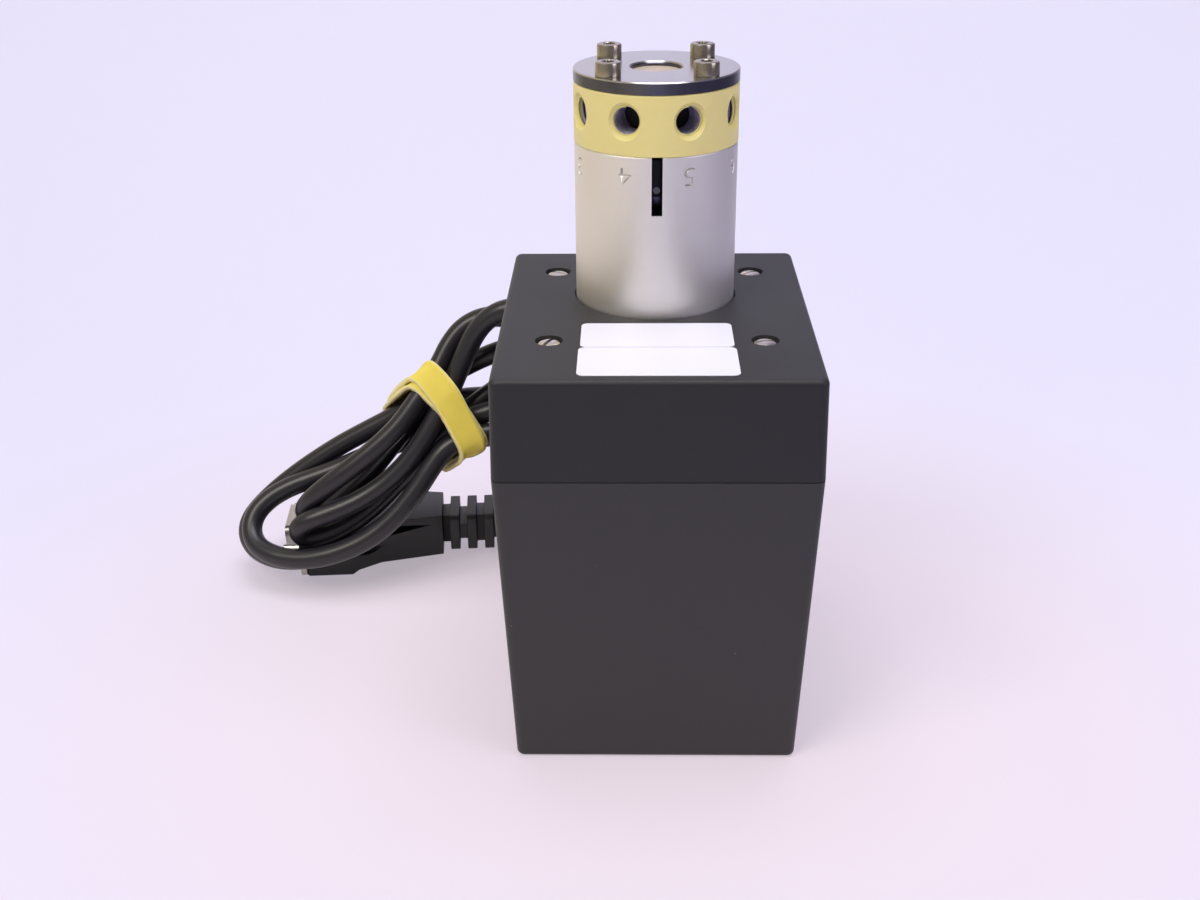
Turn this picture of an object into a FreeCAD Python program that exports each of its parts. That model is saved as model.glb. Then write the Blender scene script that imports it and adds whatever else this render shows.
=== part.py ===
"""Motor-driven HPLC injection valve: a moulded actuator housing that carries a rotary valve on top.

Frame: X to the right, Y to the back, Z up; the origin is the centre of the housing's foot.
All sizes are in millimetres.
"""
import FreeCAD, Part
import math
import os

V = FreeCAD.Vector
X_AXIS, Y_AXIS, Z_AXIS = V(1, 0, 0), V(0, 1, 0), V(0, 0, 1)

# ---------------------------------------------------------------- driving dimensions
# fits
RUNNING_GAP = 0.05      # radial, shafts that turn in bores
SEAT_GAP = 0.02         # radial, pieces fastened in bores
ROLLING_GAP = 0.05      # rolling elements to their races
BORE_RUNNING_GAP = 0.10     # rotor to the valve body's bore
FREE_GAP = 0.5          # pieces that pass each other

# housing
SEAM_WIDTH, SEAM_DEPTH = 68.6, 84.3
COVER_DRAFT = 0.6       # how much narrower the housing is at the top than at the seam
BASE_DRAFT = 6.25       # how much narrower it is at the foot than at the seam
HOUSING_HEIGHT = 92.56
SEAM_HEIGHT = 70.3
WALL = 2.5
FLOOR = 3.0
ROOF = 3.0
CORNER_R = 1.8
EDGE_R = 1.2
SEAM_GROOVE, SEAM_GROOVE_HEIGHT = 0.25, 0.25
LIP_HEIGHT = 3.0
LIP_THICK = 1.2
LIP_GAP = 0.15

# valve axis and the square of case screws
VALVE_Y = 12.12
SCREW_SQUARE = 45.8
REAR_SCREW_INSET = 15.4 # from the seam's rear edge to the two rear screws
SCREW_SQUARE_Y = SEAM_DEPTH / 2 - REAR_SCREW_INSET - SCREW_SQUARE / 2

# plates and their stack
BOSS_LENGTH = 5.56
BOSS_R = 4.5
UPPER_PLATE = 5.0
SPACER_LENGTH = 18.0
SPACER_R = 3.5
LOWER_PLATE = 3.0
PLATE_WIDTH, PLATE_DEPTH = 55.0, 60.0
PLATE_CORNER_R = 4.0
COLUMN_R = 4.0
RIB = 2.0

# screws: M3 and M2.5, with their clearance holes
M3_R, M3_HOLE_R = 1.5, 1.7
M25_R = 1.25
PAN_HEAD_R, PAN_HEAD = 2.9, 2.0
PAN_SLOT, PAN_SLOT_DEPTH = 0.8, 0.9
RECESS_R, RECESS_DEPTH = 3.05, 2.1
CAP_HEAD_R, CAP_HEAD = 2.75, 3.0
CAP_KEY, CAP_KEY_DEPTH = 2.5, 1.5
SMALL_HEAD_R, SMALL_HEAD = 2.25, 1.8
THREAD_GRIP = 8.0       # threaded length of a screw in what it holds to
PAN_SLOT_ANGLES = (62, 12, 35, 150)

# valve body
BODY_R = 18.0
BODY_ABOVE_COVER = 35.8
BODY_BORE_R = 11.5
BODY_EDGE = 0.5
BORE_FLOOR_BELOW_TOP = 24.3
BUSH_R = 6.0
BUSH_LENGTH = 14.0
SLOT_WIDTH = 2.3
SLOT_BELOW_TOP = 12.7
COVER_OPENING_GAP = 0.4
BODY_SCREW_CIRCLE_R = 14.0
BODY_SCREW_GRIP = 6.0

# stator and pressure ring
STATOR_R = 18.08
STATOR_HEIGHT = 12.9
STATOR_EDGE = 0.5
BOSS_RING_R = 5.45
BOSS_RING_HEIGHT = 1.6
RING_HEIGHT = 2.6
RING_HOLE_R = 5.5
RING_HOLE_BEVEL = 0.5
RING_EDGE = 0.2
STATOR_SCREW_CIRCLE_R = 14.6
STATOR_SCREW_GRIP = 9.5
STATOR_SCREW_HOLE_R = 1.6
DOWEL_R = 1.0
DOWEL_DEPTH = 4.0       # in the body and in the stator
DOWEL_ANGLES = (0, 90)

# ports: 1/4-28 threads, their major radius
PORT_PITCH_DEG = 45.0
PORT_COUNT = 7
FIRST_PORT_DEG = 112.5
PORT_R = 3.175
PORT_DEPTH = 8.0
PORT_HEIGHT = 7.2       # above the stator's foot
PORT_MOUTH_R = 4.05
PORT_MOUTH_DEPTH = 0.9
PASSAGE_R = 0.4
PASSAGE_CIRCLE_R = 3.2

# rotor
SEAL_R = 8.0
SEAL_HEIGHT = 2.28
SEAL_FACE_GAP = 0.02
GROOVE_WIDTH, GROOVE_DEPTH = 0.7, 0.4
SEAL_PIN_R, SEAL_PIN_CIRCLE_R, SEAL_PIN_DEPTH = 0.75, 6.0, 1.2
SEAL_PIN_COUNT = 3
CARRIER_HEIGHT = 8.0
CARRIER_PIN_R = 0.75
CARRIER_PIN_HEIGHT = 1.4     # above the carrier's foot
SHAFT_R = 4.0
SHAFT_IN_CARRIER = 4.0
SHAFT_BELOW_LOWER_PLATE = 8.0

# thrust bearing and springs
RACE = 1.5
RACE_R = 11.4
ROLLER_R = 1.45
ROLLER_LENGTH = 4.5
ROLLER_COUNT = 12
THRUST_CAGE = 1.8
THRUST_CAGE_R = 11.0
SPRING_THICK = 1.0
SPRING_COUNT = 4
SPRING_R = 11.0
SHAFT_CLEARANCE = 0.6

# ball bearing in the upper plate
BEARING_R = 8.0
BEARING_WIDTH = 4.0
BALL_R = 1.2
BALL_COUNT = 9
BEARING_LIP = 1.5       # how far the plate reaches over the outer ring
RING_SHARE = 0.55       # share of a ball's radius that the rings leave open
CAGE_GAP = 0.15         # cage to the rings
CLIP_THICK, CLIP_R, CLIP_DEPTH = 0.8, 6.0, 0.4

# gears
MODULE = 0.8
GEAR_TEETH = 50
PINION_TEETH = 16
GEAR_WIDTH = 6.0
PINION_EXTRA = 1.0      # pinion wider than the gear, in all
GEAR_ABOVE_LOWER_PLATE = 5.0
GEAR_HUB_R = 8.0
GEAR_HUB = 2.6
PINION_HUB_R = 4.5
BACKLASH = 0.1
CENTRE_EXTRA = 0.05
PRESSURE_DEG = 20.0
GRUB_R = 1.0

# gearmotor
GEARHEAD_R, GEARHEAD_LENGTH = 14.0, 18.0
MOTOR_R, MOTOR_LENGTH = 12.0, 25.0
MOTOR_BOSS_R, MOTOR_BOSS = 5.0, 1.5
MOTOR_SHAFT_R = 2.5
MOTOR_SHAFT_IN_HEAD = 8.0
END_CAP = 4.0
MOTOR_SCREW_CIRCLE_R = 10.0
MOTOR_SCREW_GRIP = 5.0
TERMINAL = (0.8, 2.4, 3.0)
TERMINAL_SPREAD = 5.0

# position disc and its sensor
DISC_R, DISC_THICK = 11.0, 1.0
DISC_HUB_R, DISC_HUB = 6.5, 3.5
DISC_BELOW_PLATE = 3.2
DISC_SLOT_COUNT = 8
DISC_SLOT = (1.6, 2.2)
SENSOR = (10.0, 8.0, 7.4)
SENSOR_GAP = 0.9
SENSOR_REACH = 2.0      # how far the disc reaches into the sensor

# circuit board
BOARD_WIDTH, BOARD_HEIGHT, BOARD = 34.0, 40.0, 1.6
BOARD_FOOT = 6.0
BOARD_Y = 24.0
BOARD_POST_R = 2.5
BOARD_POST_INSET = 3.5
# packages on the board's front, from its middle: (x, z, width, height, thickness)
CHIPS = [(-8.0, 6.0, 9.0, 9.0, 1.4), (5.0, 4.0, 10.0, 6.0, 1.8), (-6.0, -8.0, 6.0, 5.0, 1.6)]
CAPACITOR_R, CAPACITOR_LENGTH = 3.1, 7.0
CAPACITOR_PLACES = [(3.0, -9.0), (10.0, -9.0)]
HEADER = (12.0, 5.0, 6.0)

# cable
CABLE_R = 2.75

# cable gland
GLAND_X, GLAND_Z = 18.0, 22.0
GLAND_SHANK_R = 4.5
GLAND_FLANGE_R = 6.5
GLAND_FLANGE = 2.0
GLAND_TAIL_R = 4.6
GLAND_END_WALL = 1.0    # round the cable at the tail's end
GLAND_GROOVE_WALL = 0.5 # round the cable under the tail's grooves
GLAND_TAIL_END_Y = 50.0
GLAND_RIBS = 3
GLAND_NUT_AF, GLAND_NUT = 12.0, 3.0

# labels
LABEL = 0.12
LABEL_CORNER_R = 1.5
LABEL_UPPER = (32.4, 14.2)
LABEL_UPPER_GAP = 2.72  # behind it, to the opening round the valve
LABEL_LOWER_WIDTH = 33.0
LABEL_LOWER_INSET = 3.15 # from the seam's front edge
LABEL_STEP = 0.2

# plug on the cable's end
PLUG_AT = V(-95.4, 57.1, 7.3)
PLUG_TURN_DEG = 4.5
HOOD_WIDTH, HOOD_HEIGHT = 31.0, 14.5
HOOD_BLOCK = 12.0
HOOD_TAPER_END, HOOD_TAPER_WIDTH = 20.0, 21.0
HOOD_LENGTH = 37.0
HOOD_REAR_WIDTH, HOOD_REAR_HEIGHT = 14.5, 12.0
RELIEF_LENGTH = 36.0
RELIEF_WIDTH, RELIEF_HEIGHT = 14.0, 10.8
RELIEF_CORE = 7.4
RELIEF_RIB = 2.6
RELIEF_PITCH = 4.75
RELIEF_RIB_COUNT = 6
SLOT_DEEP, SLOT_SHALLOW = 3.2, 1.3    # the relief's slots are deep at its sides and at its top by turns
GRIP_APEX = (34.0, 3.5)               # thumb recess on each side of the hood: a wedge that ends near the rear
GRIP_FRONT, GRIP_FOOT, GRIP_TOP = 18.5, 1.1, 5.2
GRIP_DEPTH = 1.3
FLANGE_WIDTH, FLANGE_HEIGHT, FLANGE = 31.6, 14.0, 1.6
SHELL_WIDTH, SHELL_HEIGHT, SHELL_LENGTH = 16.9, 8.36, 4.6
SHELL_WALL = 0.4
SHELL_SLANT_DEG = 10.0
SHELL_CORNER_R = 2.0
INSERT_THICK = 1.2
PIN_R, PIN_LENGTH, PIN_PITCH, PIN_ROW_GAP = 0.5, 5.2, 2.77, 2.84
JACK_SPREAD = 24.99
JACK_R = 1.4
JACK_HEAD_R, JACK_HEAD = 2.4, 5.0
JACK_REACH = 4.5        # in front of the flange


# ---------------------------------------------------------------- levels, bottom to top
ROOF_FOOT = HOUSING_HEIGHT - ROOF
UPPER_PLATE_TOP = ROOF_FOOT - BOSS_LENGTH
UPPER_PLATE_FOOT = UPPER_PLATE_TOP - UPPER_PLATE
LOWER_PLATE_TOP = UPPER_PLATE_FOOT - SPACER_LENGTH
LOWER_PLATE_FOOT = LOWER_PLATE_TOP - LOWER_PLATE
SCREW_SEAT = HOUSING_HEIGHT - RECESS_DEPTH
BODY_TOP = HOUSING_HEIGHT + BODY_ABOVE_COVER
BORE_FLOOR = BODY_TOP - BORE_FLOOR_BELOW_TOP
STATOR_TOP = BODY_TOP + STATOR_HEIGHT
RING_TOP = STATOR_TOP + RING_HEIGHT
PORT_Z = BODY_TOP + PORT_HEIGHT
SEAL_TOP = BODY_TOP - SEAL_FACE_GAP
CARRIER_TOP = SEAL_TOP - SEAL_HEIGHT
CARRIER_FOOT = CARRIER_TOP - CARRIER_HEIGHT
CARRIER_R = BODY_BORE_R - BORE_RUNNING_GAP
CARRIER_PIN_Z = CARRIER_FOOT + CARRIER_PIN_HEIGHT
SHAFT_TOP = CARRIER_FOOT + SHAFT_IN_CARRIER
SHAFT_FOOT = LOWER_PLATE_FOOT - SHAFT_BELOW_LOWER_PLATE
RACE_FOOT = CARRIER_FOOT - RACE
ROLLER_Z = RACE_FOOT - ROLLING_GAP - ROLLER_R
LOWER_RACE_TOP = ROLLER_Z - ROLLER_R - ROLLING_GAP
SPRING_TOP = LOWER_RACE_TOP - RACE
GEAR_FOOT = LOWER_PLATE_TOP + GEAR_ABOVE_LOWER_PLATE
GEAR_TOP = GEAR_FOOT + GEAR_WIDTH
CENTRE_DISTANCE = MODULE * (GEAR_TEETH + PINION_TEETH) / 2 + CENTRE_EXTRA
MOTOR_Y = VALVE_Y - CENTRE_DISTANCE
HALF_SQUARE = SCREW_SQUARE / 2
CASE_SCREW_PLACES = [
    (sx * HALF_SQUARE, SCREW_SQUARE_Y + sy * HALF_SQUARE)
    for sx, sy in ((-1, -1), (1, -1), (1, 1), (-1, 1))
]
PORT_ANGLES = [FIRST_PORT_DEG + PORT_PITCH_DEG * k for k in range(PORT_COUNT)]
STATOR_SCREW_ANGLES = [45 + 90 * k for k in range(4)]
BODY_SCREW_ANGLES = [90 * k for k in range(4)]


# ---------------------------------------------------------------- shape helpers
def cylinder(radius, low, high, x=0.0, y=0.0):
    return Part.makeCylinder(radius, high - low, V(x, y, low))


def ring(inner, outer, low, high, x=0.0, y=0.0):
    overrun = 1.0
    return cylinder(outer, low, high, x, y).cut(cylinder(inner, low - overrun, high + overrun, x, y))


def block(x0, x1, y0, y1, z0, z1):
    return Part.makeBox(x1 - x0, y1 - y0, z1 - z0, V(x0, y0, z0))


def fuse(shapes):
    first, *others = shapes
    return first.fuse(others).removeSplitter() if others else first


def on_valve_axis(shape):
    moved = shape.copy()
    moved.translate(V(0, VALVE_Y, 0))
    return moved


def polar(radius, degrees):
    angle = math.radians(degrees)
    return radius * math.cos(angle), radius * math.sin(angle)


def edges_where(shape, test):
    return [edge for edge in shape.Edges if all(test(vertex.Point) for vertex in edge.Vertexes)]


def edges_at_level(shape, z):
    return edges_where(shape, lambda p: abs(p.z - z) < 1e-4)


def rounded_rectangle(width, depth, radius, z, y=0.0):
    """A closed wire, centred on (0, y) in the plane at height z."""
    x, d = width / 2, depth / 2
    edges = []
    for k, (cx, cy) in enumerate(((x, d), (-x, d), (-x, -d), (x, -d))):
        centre = V(cx - math.copysign(radius, cx), y + cy - math.copysign(radius, cy), z)
        edges.append(Part.makeCircle(radius, centre, Z_AXIS, 90 * k, 90 * k + 90))
    sides = [
        Part.makeLine(edges[k].Vertexes[-1].Point, edges[(k + 1) % 4].Vertexes[0].Point)
        for k in range(4)
    ]
    return Part.Wire([edge for pair in zip(edges, sides) for edge in pair])


def slab(width, depth, radius, low, high, y=0.0):
    return Part.Face(rounded_rectangle(width, depth, radius, low, y)).extrude(V(0, 0, high - low))


def rectangle(width, depth, z):
    x, y = width / 2, depth / 2
    return Part.makePolygon([V(x, y, z), V(-x, y, z), V(-x, -y, z), V(x, -y, z), V(x, y, z)])


def tapered_block(low_section, high_section, radius):
    """A flat-sided block between two (width, depth, z) sections, with its upright edges rounded."""
    plain = Part.makeLoft([rectangle(*low_section), rectangle(*high_section)], True, True)
    upright = [edge for edge in plain.Edges if abs(edge.Vertexes[0].Z - edge.Vertexes[1].Z) > 1e-3]
    return plain.makeFillet(radius, upright)


def revolved(profile):
    """A solid of revolution about the Z axis from (radius, z) points."""
    points = [V(r, 0, z) for r, z in profile]
    return Part.Face(Part.makePolygon([*points, points[0]])).revolve(V(0, 0, 0), Z_AXIS, 360)


def hexagonal_prism(across_flats, low, high, x=0.0, y=0.0, turn=0.0):
    corner_r = across_flats / 2 / math.cos(math.pi / 6)
    corners = [V(*(c + s for c, s in zip((x, y), polar(corner_r, turn + 60 * k))), low) for k in range(6)]
    return Part.Face(Part.makePolygon([*corners, corners[0]])).extrude(V(0, 0, high - low))


def turn_radius(before, at, after):
    """The radius of the tangent arc at a point of a route: 0.45 of the shorter run over tan(half the turn)."""
    half_turn = (at - before).getAngle(after - at) / 2
    return 0.45 * min((at - before).Length, (after - at).Length) / math.tan(half_turn)


def tangent_arc(before, at, after):
    """(start, middle, end) of the arc that rounds the corner at a point of a route."""
    share = 0.45 * min((at - before).Length, (after - at).Length)
    back, ahead = (before - at).normalize(), (after - at).normalize()
    half_turn = (at - before).getAngle(after - at) / 2
    radius = turn_radius(before, at, after)
    middle = at + (back + ahead).normalize() * (radius / math.cos(half_turn) - radius)
    return at + back * share, middle, at + ahead * share


def route_wire(points):
    """Straight runs joined by tangent arcs."""
    edges, start = [], points[0]
    for before, at, after in zip(points, points[1:], points[2:]):
        low, middle, high = tangent_arc(before, at, after)
        edges += [Part.LineSegment(start, low).toShape(), Part.Arc(low, middle, high).toShape()]
        start = high
    edges.append(Part.LineSegment(start, points[-1]).toShape())
    return Part.Wire(edges)


def rounded_outline(points):
    """A closed wire through a loop of points, with every corner rounded."""
    count, edges = len(points), []
    arcs = [tangent_arc(points[k - 1], points[k], points[(k + 1) % count]) for k in range(count)]
    for k, (low, middle, high) in enumerate(arcs):
        edges.append(Part.Arc(low, middle, high).toShape())
        edges.append(Part.LineSegment(high, arcs[(k + 1) % count][0]).toShape())
    return Part.Wire(edges)


def cable_tube(name, points):
    """The cable along a route; prints its radii and compares its volume with section times length."""
    path = route_wire(points)
    section = Part.Wire(Part.makeCircle(CABLE_R, points[0], points[1] - points[0]))
    tube = path.makePipeShell([section], True, False)
    radii = [turn_radius(*three) for three in zip(points, points[1:], points[2:])]
    expected = math.pi * CABLE_R**2 * path.Length
    print(name, "radii", [round(r, 1) for r in radii], "length", round(path.Length, 1),
          "volume ratio", round(tube.Volume / expected, 4))
    return tube


# ---------------------------------------------------------------- housing
def housing_width(z):
    return SEAM_WIDTH - BASE_DRAFT * (1 - z / SEAM_HEIGHT)


def housing_depth(z):
    return SEAM_DEPTH - BASE_DRAFT * (1 - z / SEAM_HEIGHT)


def seam_section(inset):
    return SEAM_WIDTH - 2 * inset, SEAM_DEPTH - 2 * inset, SEAM_HEIGHT


def base_block(inset, z0):
    """The base's outer block, or its cavity when inset, from z0 to the seam."""
    start = (housing_width(z0) - 2 * inset, housing_depth(z0) - 2 * inset, z0)
    return tapered_block(start, seam_section(inset), CORNER_R)


def cover_block(inset, z1):
    """The cover's outer block, or its cavity when inset, from the seam to z1."""
    narrower = COVER_DRAFT * (z1 - SEAM_HEIGHT) / (HOUSING_HEIGHT - SEAM_HEIGHT)
    width, depth = SEAM_WIDTH - narrower, SEAM_DEPTH - narrower
    return tapered_block(seam_section(inset), (width - 2 * inset, depth - 2 * inset, z1), CORNER_R)


def seam_groove():
    """What is cut off both rims, so that a fine groove runs round the housing."""
    low, high = SEAM_HEIGHT - SEAM_GROOVE_HEIGHT / 2, SEAM_HEIGHT + SEAM_GROOVE_HEIGHT / 2
    outside = slab(SEAM_WIDTH + WALL, SEAM_DEPTH + WALL, CORNER_R, low, high)
    core = slab(SEAM_WIDTH - 2 * SEAM_GROOVE, SEAM_DEPTH - 2 * SEAM_GROOVE, CORNER_R - SEAM_GROOVE, low, high)
    return outside.cut(core)


def board_post_places():
    x = BOARD_WIDTH / 2 - BOARD_POST_INSET
    return [(sx * x, BOARD_FOOT + z) for sx in (-1, 1)
            for z in (BOARD_POST_INSET, BOARD_HEIGHT - BOARD_POST_INSET)]


def along_y(radius, y0, y1, x, z):
    return Part.makeCylinder(radius, y1 - y0, V(x, y0, z), Y_AXIS)


def make_housing_base():
    outer = base_block(0, 0)
    shell = outer.makeFillet(EDGE_R, edges_at_level(outer, 0)).cut(seam_groove())
    shell = shell.cut(base_block(WALL, FLOOR))
    inner = []
    for x, y in CASE_SCREW_PLACES:
        inner.append(cylinder(COLUMN_R, FLOOR / 2, LOWER_PLATE_FOOT, x, y))
        wall_x = math.copysign(housing_width(LOWER_PLATE_FOOT) / 2, x)
        inner.append(block(min(x, wall_x), max(x, wall_x), y - RIB / 2, y + RIB / 2,
                           FLOOR / 2, LOWER_PLATE_FOOT))
    for x, z in board_post_places():
        inner.append(along_y(BOARD_POST_R, BOARD_Y + BOARD, housing_depth(z) / 2, x, z))
    within = base_block(WALL / 2, FLOOR / 2)
    shell = fuse([shell, *(piece.common(within) for piece in inner)])
    for x, y in CASE_SCREW_PLACES:
        grip_foot = LOWER_PLATE_FOOT - THREAD_GRIP - FREE_GAP
        shell = shell.cut(cylinder(M3_R + SEAT_GAP, grip_foot, LOWER_PLATE_FOOT, x, y))
    for x, z in board_post_places():
        hole_end = BOARD_Y + BOARD + THREAD_GRIP / 2 + FREE_GAP
        shell = shell.cut(along_y(M25_R + SEAT_GAP, BOARD_Y, hole_end, x, z))
    hole = along_y(GLAND_SHANK_R + SEAT_GAP, BOARD_Y, SEAM_DEPTH, GLAND_X, GLAND_Z)
    return shell.cut(hole)


def make_housing_cover():
    outer = cover_block(0, HOUSING_HEIGHT)
    shell = outer.makeFillet(EDGE_R, edges_at_level(outer, HOUSING_HEIGHT)).cut(seam_groove())
    shell = shell.cut(cover_block(WALL, ROOF_FOOT))
    lip_width = SEAM_WIDTH - 2 * (WALL + LIP_GAP)
    lip_depth = SEAM_DEPTH - 2 * (WALL + LIP_GAP)
    draft = (housing_width(SEAM_HEIGHT) - housing_width(SEAM_HEIGHT - LIP_HEIGHT))
    foot, head = SEAM_HEIGHT - LIP_HEIGHT, SEAM_HEIGHT + LIP_HEIGHT
    lip = tapered_block((lip_width - draft, lip_depth - draft, foot), (lip_width, lip_depth, SEAM_HEIGHT), CORNER_R)
    lip = lip.cut(slab(lip_width - draft - 2 * LIP_THICK, lip_depth - draft - 2 * LIP_THICK,
                       CORNER_R, foot, SEAM_HEIGHT))
    collar = slab(SEAM_WIDTH - WALL, SEAM_DEPTH - WALL, CORNER_R, SEAM_HEIGHT, head)
    collar = collar.cut(slab(lip_width - draft - 2 * LIP_THICK, lip_depth - draft - 2 * LIP_THICK,
                             CORNER_R, SEAM_HEIGHT, head))
    bosses = [cylinder(BOSS_R, UPPER_PLATE_TOP, HOUSING_HEIGHT - ROOF / 2, x, y)
              for x, y in CASE_SCREW_PLACES]
    shell = fuse([shell, lip, collar, *bosses])
    opening = on_valve_axis(cylinder(BODY_R + COVER_OPENING_GAP, UPPER_PLATE_TOP, HOUSING_HEIGHT + ROOF))
    shell = shell.cut(opening)
    for x, y in CASE_SCREW_PLACES:
        shell = shell.cut(cylinder(M3_HOLE_R, UPPER_PLATE_TOP, HOUSING_HEIGHT, x, y))
        shell = shell.cut(cylinder(RECESS_R, SCREW_SEAT, HOUSING_HEIGHT + ROOF, x, y))
    return shell


def pan_head_screw(x, y, seat, foot, slot_degrees):
    head = cylinder(PAN_HEAD_R, seat, seat + PAN_HEAD, x, y)
    head = head.makeFillet(PAN_HEAD * 0.4, edges_at_level(head, seat + PAN_HEAD))
    slot = block(-PAN_HEAD_R, PAN_HEAD_R, -PAN_SLOT / 2, PAN_SLOT / 2,
                 seat + PAN_HEAD - PAN_SLOT_DEPTH, seat + 2 * PAN_HEAD)
    slot.rotate(V(0, 0, 0), Z_AXIS, slot_degrees)
    slot.translate(V(x, y, 0))
    return fuse([head.cut(slot), cylinder(M3_R, foot, seat, x, y)])


def make_case_screws():
    foot = LOWER_PLATE_FOOT - THREAD_GRIP
    return Part.makeCompound([
        pan_head_screw(x, y, SCREW_SEAT, foot, angle)
        for (x, y), angle in zip(CASE_SCREW_PLACES, PAN_SLOT_ANGLES)])


def make_label(size, front_y):
    width, depth = size
    return slab(width, depth, LABEL_CORNER_R, HOUSING_HEIGHT, HOUSING_HEIGHT + LABEL, front_y + depth / 2)


# ---------------------------------------------------------------- chassis
def plate(low, high):
    return slab(PLATE_WIDTH, PLATE_DEPTH, PLATE_CORNER_R, low, high, SCREW_SQUARE_Y)


def drilled(shape, radius, places, low, high):
    overrun = 1.0
    for x, y in places:
        shape = shape.cut(cylinder(radius, low - overrun, high + overrun, x, y))
    return shape


def around_valve(radius, angles):
    return [(x, VALVE_Y + y) for x, y in (polar(radius, angle) for angle in angles)]


def make_upper_plate():
    shape = drilled(plate(UPPER_PLATE_FOOT, UPPER_PLATE_TOP), M3_HOLE_R,
                    [*CASE_SCREW_PLACES, *around_valve(BODY_SCREW_CIRCLE_R, BODY_SCREW_ANGLES)],
                    UPPER_PLATE_FOOT, UPPER_PLATE_TOP)
    pocket = cylinder(BEARING_R + SEAT_GAP, UPPER_PLATE_FOOT - 1, UPPER_PLATE_FOOT + BEARING_WIDTH, 0, VALVE_Y)
    through = cylinder(BEARING_R - BEARING_LIP, UPPER_PLATE_FOOT, UPPER_PLATE_TOP + 1, 0, VALVE_Y)
    return shape.cut(pocket).cut(through)


def motor_screw_places():
    return [(side * MOTOR_SCREW_CIRCLE_R, MOTOR_Y) for side in (-1, 1)]


def make_lower_plate():
    shape = plate(LOWER_PLATE_FOOT, LOWER_PLATE_TOP)
    shape = drilled(shape, M3_HOLE_R, CASE_SCREW_PLACES, LOWER_PLATE_FOOT, LOWER_PLATE_TOP)
    shape = drilled(shape, M25_R + RUNNING_GAP, motor_screw_places(), LOWER_PLATE_FOOT, LOWER_PLATE_TOP)
    shape = drilled(shape, BUSH_R + SEAT_GAP, [(0, VALVE_Y)], LOWER_PLATE_FOOT, LOWER_PLATE_TOP)
    return drilled(shape, MOTOR_BOSS_R + SEAT_GAP, [(0, MOTOR_Y)], LOWER_PLATE_FOOT, LOWER_PLATE_TOP)


def make_plate_spacers():
    return Part.makeCompound([
        ring(M3_HOLE_R, SPACER_R, LOWER_PLATE_TOP, UPPER_PLATE_FOOT, x, y) for x, y in CASE_SCREW_PLACES])


def cap_screw(x, y, seat, foot, upward=True):
    """A socket head screw whose head stands on the seat; with upward False it is driven from below."""
    head = cylinder(CAP_HEAD_R, 0, CAP_HEAD)
    head = head.makeChamfer(CAP_HEAD * 0.08, edges_at_level(head, CAP_HEAD))
    head = head.cut(hexagonal_prism(CAP_KEY, CAP_HEAD - CAP_KEY_DEPTH, CAP_HEAD + 1, turn=15))
    screw = fuse([head, cylinder(M3_R, -abs(seat - foot), 0)])
    if not upward:
        screw.rotate(V(0, 0, 0), X_AXIS, 180)
    screw.translate(V(x, y, seat))
    return screw


def make_body_screws():
    return Part.makeCompound([
        cap_screw(x, y, UPPER_PLATE_FOOT, UPPER_PLATE_TOP + BODY_SCREW_GRIP, upward=False)
        for x, y in around_valve(BODY_SCREW_CIRCLE_R, BODY_SCREW_ANGLES)])


# ---------------------------------------------------------------- valve head
def make_valve_body():
    body = cylinder(BODY_R, UPPER_PLATE_TOP, BODY_TOP)
    body = body.makeFillet(BODY_EDGE, edges_at_level(body, BODY_TOP))
    body = body.cut(cylinder(BODY_BORE_R, BORE_FLOOR, BODY_TOP + 1))
    body = body.cut(cylinder(BUSH_R + SEAT_GAP, BORE_FLOOR - BUSH_LENGTH, BORE_FLOOR + 1))
    body = body.cut(cylinder(SHAFT_R + SHAFT_CLEARANCE, UPPER_PLATE_TOP - 1, BORE_FLOOR))
    slot = block(-SLOT_WIDTH / 2, SLOT_WIDTH / 2, -BODY_R - 1, -BODY_BORE_R / 2,
                 BODY_TOP - SLOT_BELOW_TOP, BODY_TOP + 1)
    body = body.cut(slot)
    for angle in BODY_SCREW_ANGLES:
        body = body.cut(cylinder(M3_R + SEAT_GAP, UPPER_PLATE_TOP - 1,
                                 UPPER_PLATE_TOP + BODY_SCREW_GRIP + FREE_GAP,
                                 *polar(BODY_SCREW_CIRCLE_R, angle)))
    for angle in STATOR_SCREW_ANGLES:
        body = body.cut(cylinder(M3_R + SEAT_GAP, BODY_TOP - STATOR_SCREW_GRIP - FREE_GAP, BODY_TOP + 1,
                                 *polar(STATOR_SCREW_CIRCLE_R, angle)))
    for angle in DOWEL_ANGLES:
        body = body.cut(cylinder(DOWEL_R + SEAT_GAP, BODY_TOP - DOWEL_DEPTH, BODY_TOP + 1,
                                 *polar(STATOR_SCREW_CIRCLE_R, angle)))
    return on_valve_axis(body)


def radial(shape, angle):
    """Turns a shape made along +X so that it points along the given angle."""
    turned = shape.copy()
    turned.rotate(V(0, 0, 0), Z_AXIS, angle)
    return turned


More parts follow.
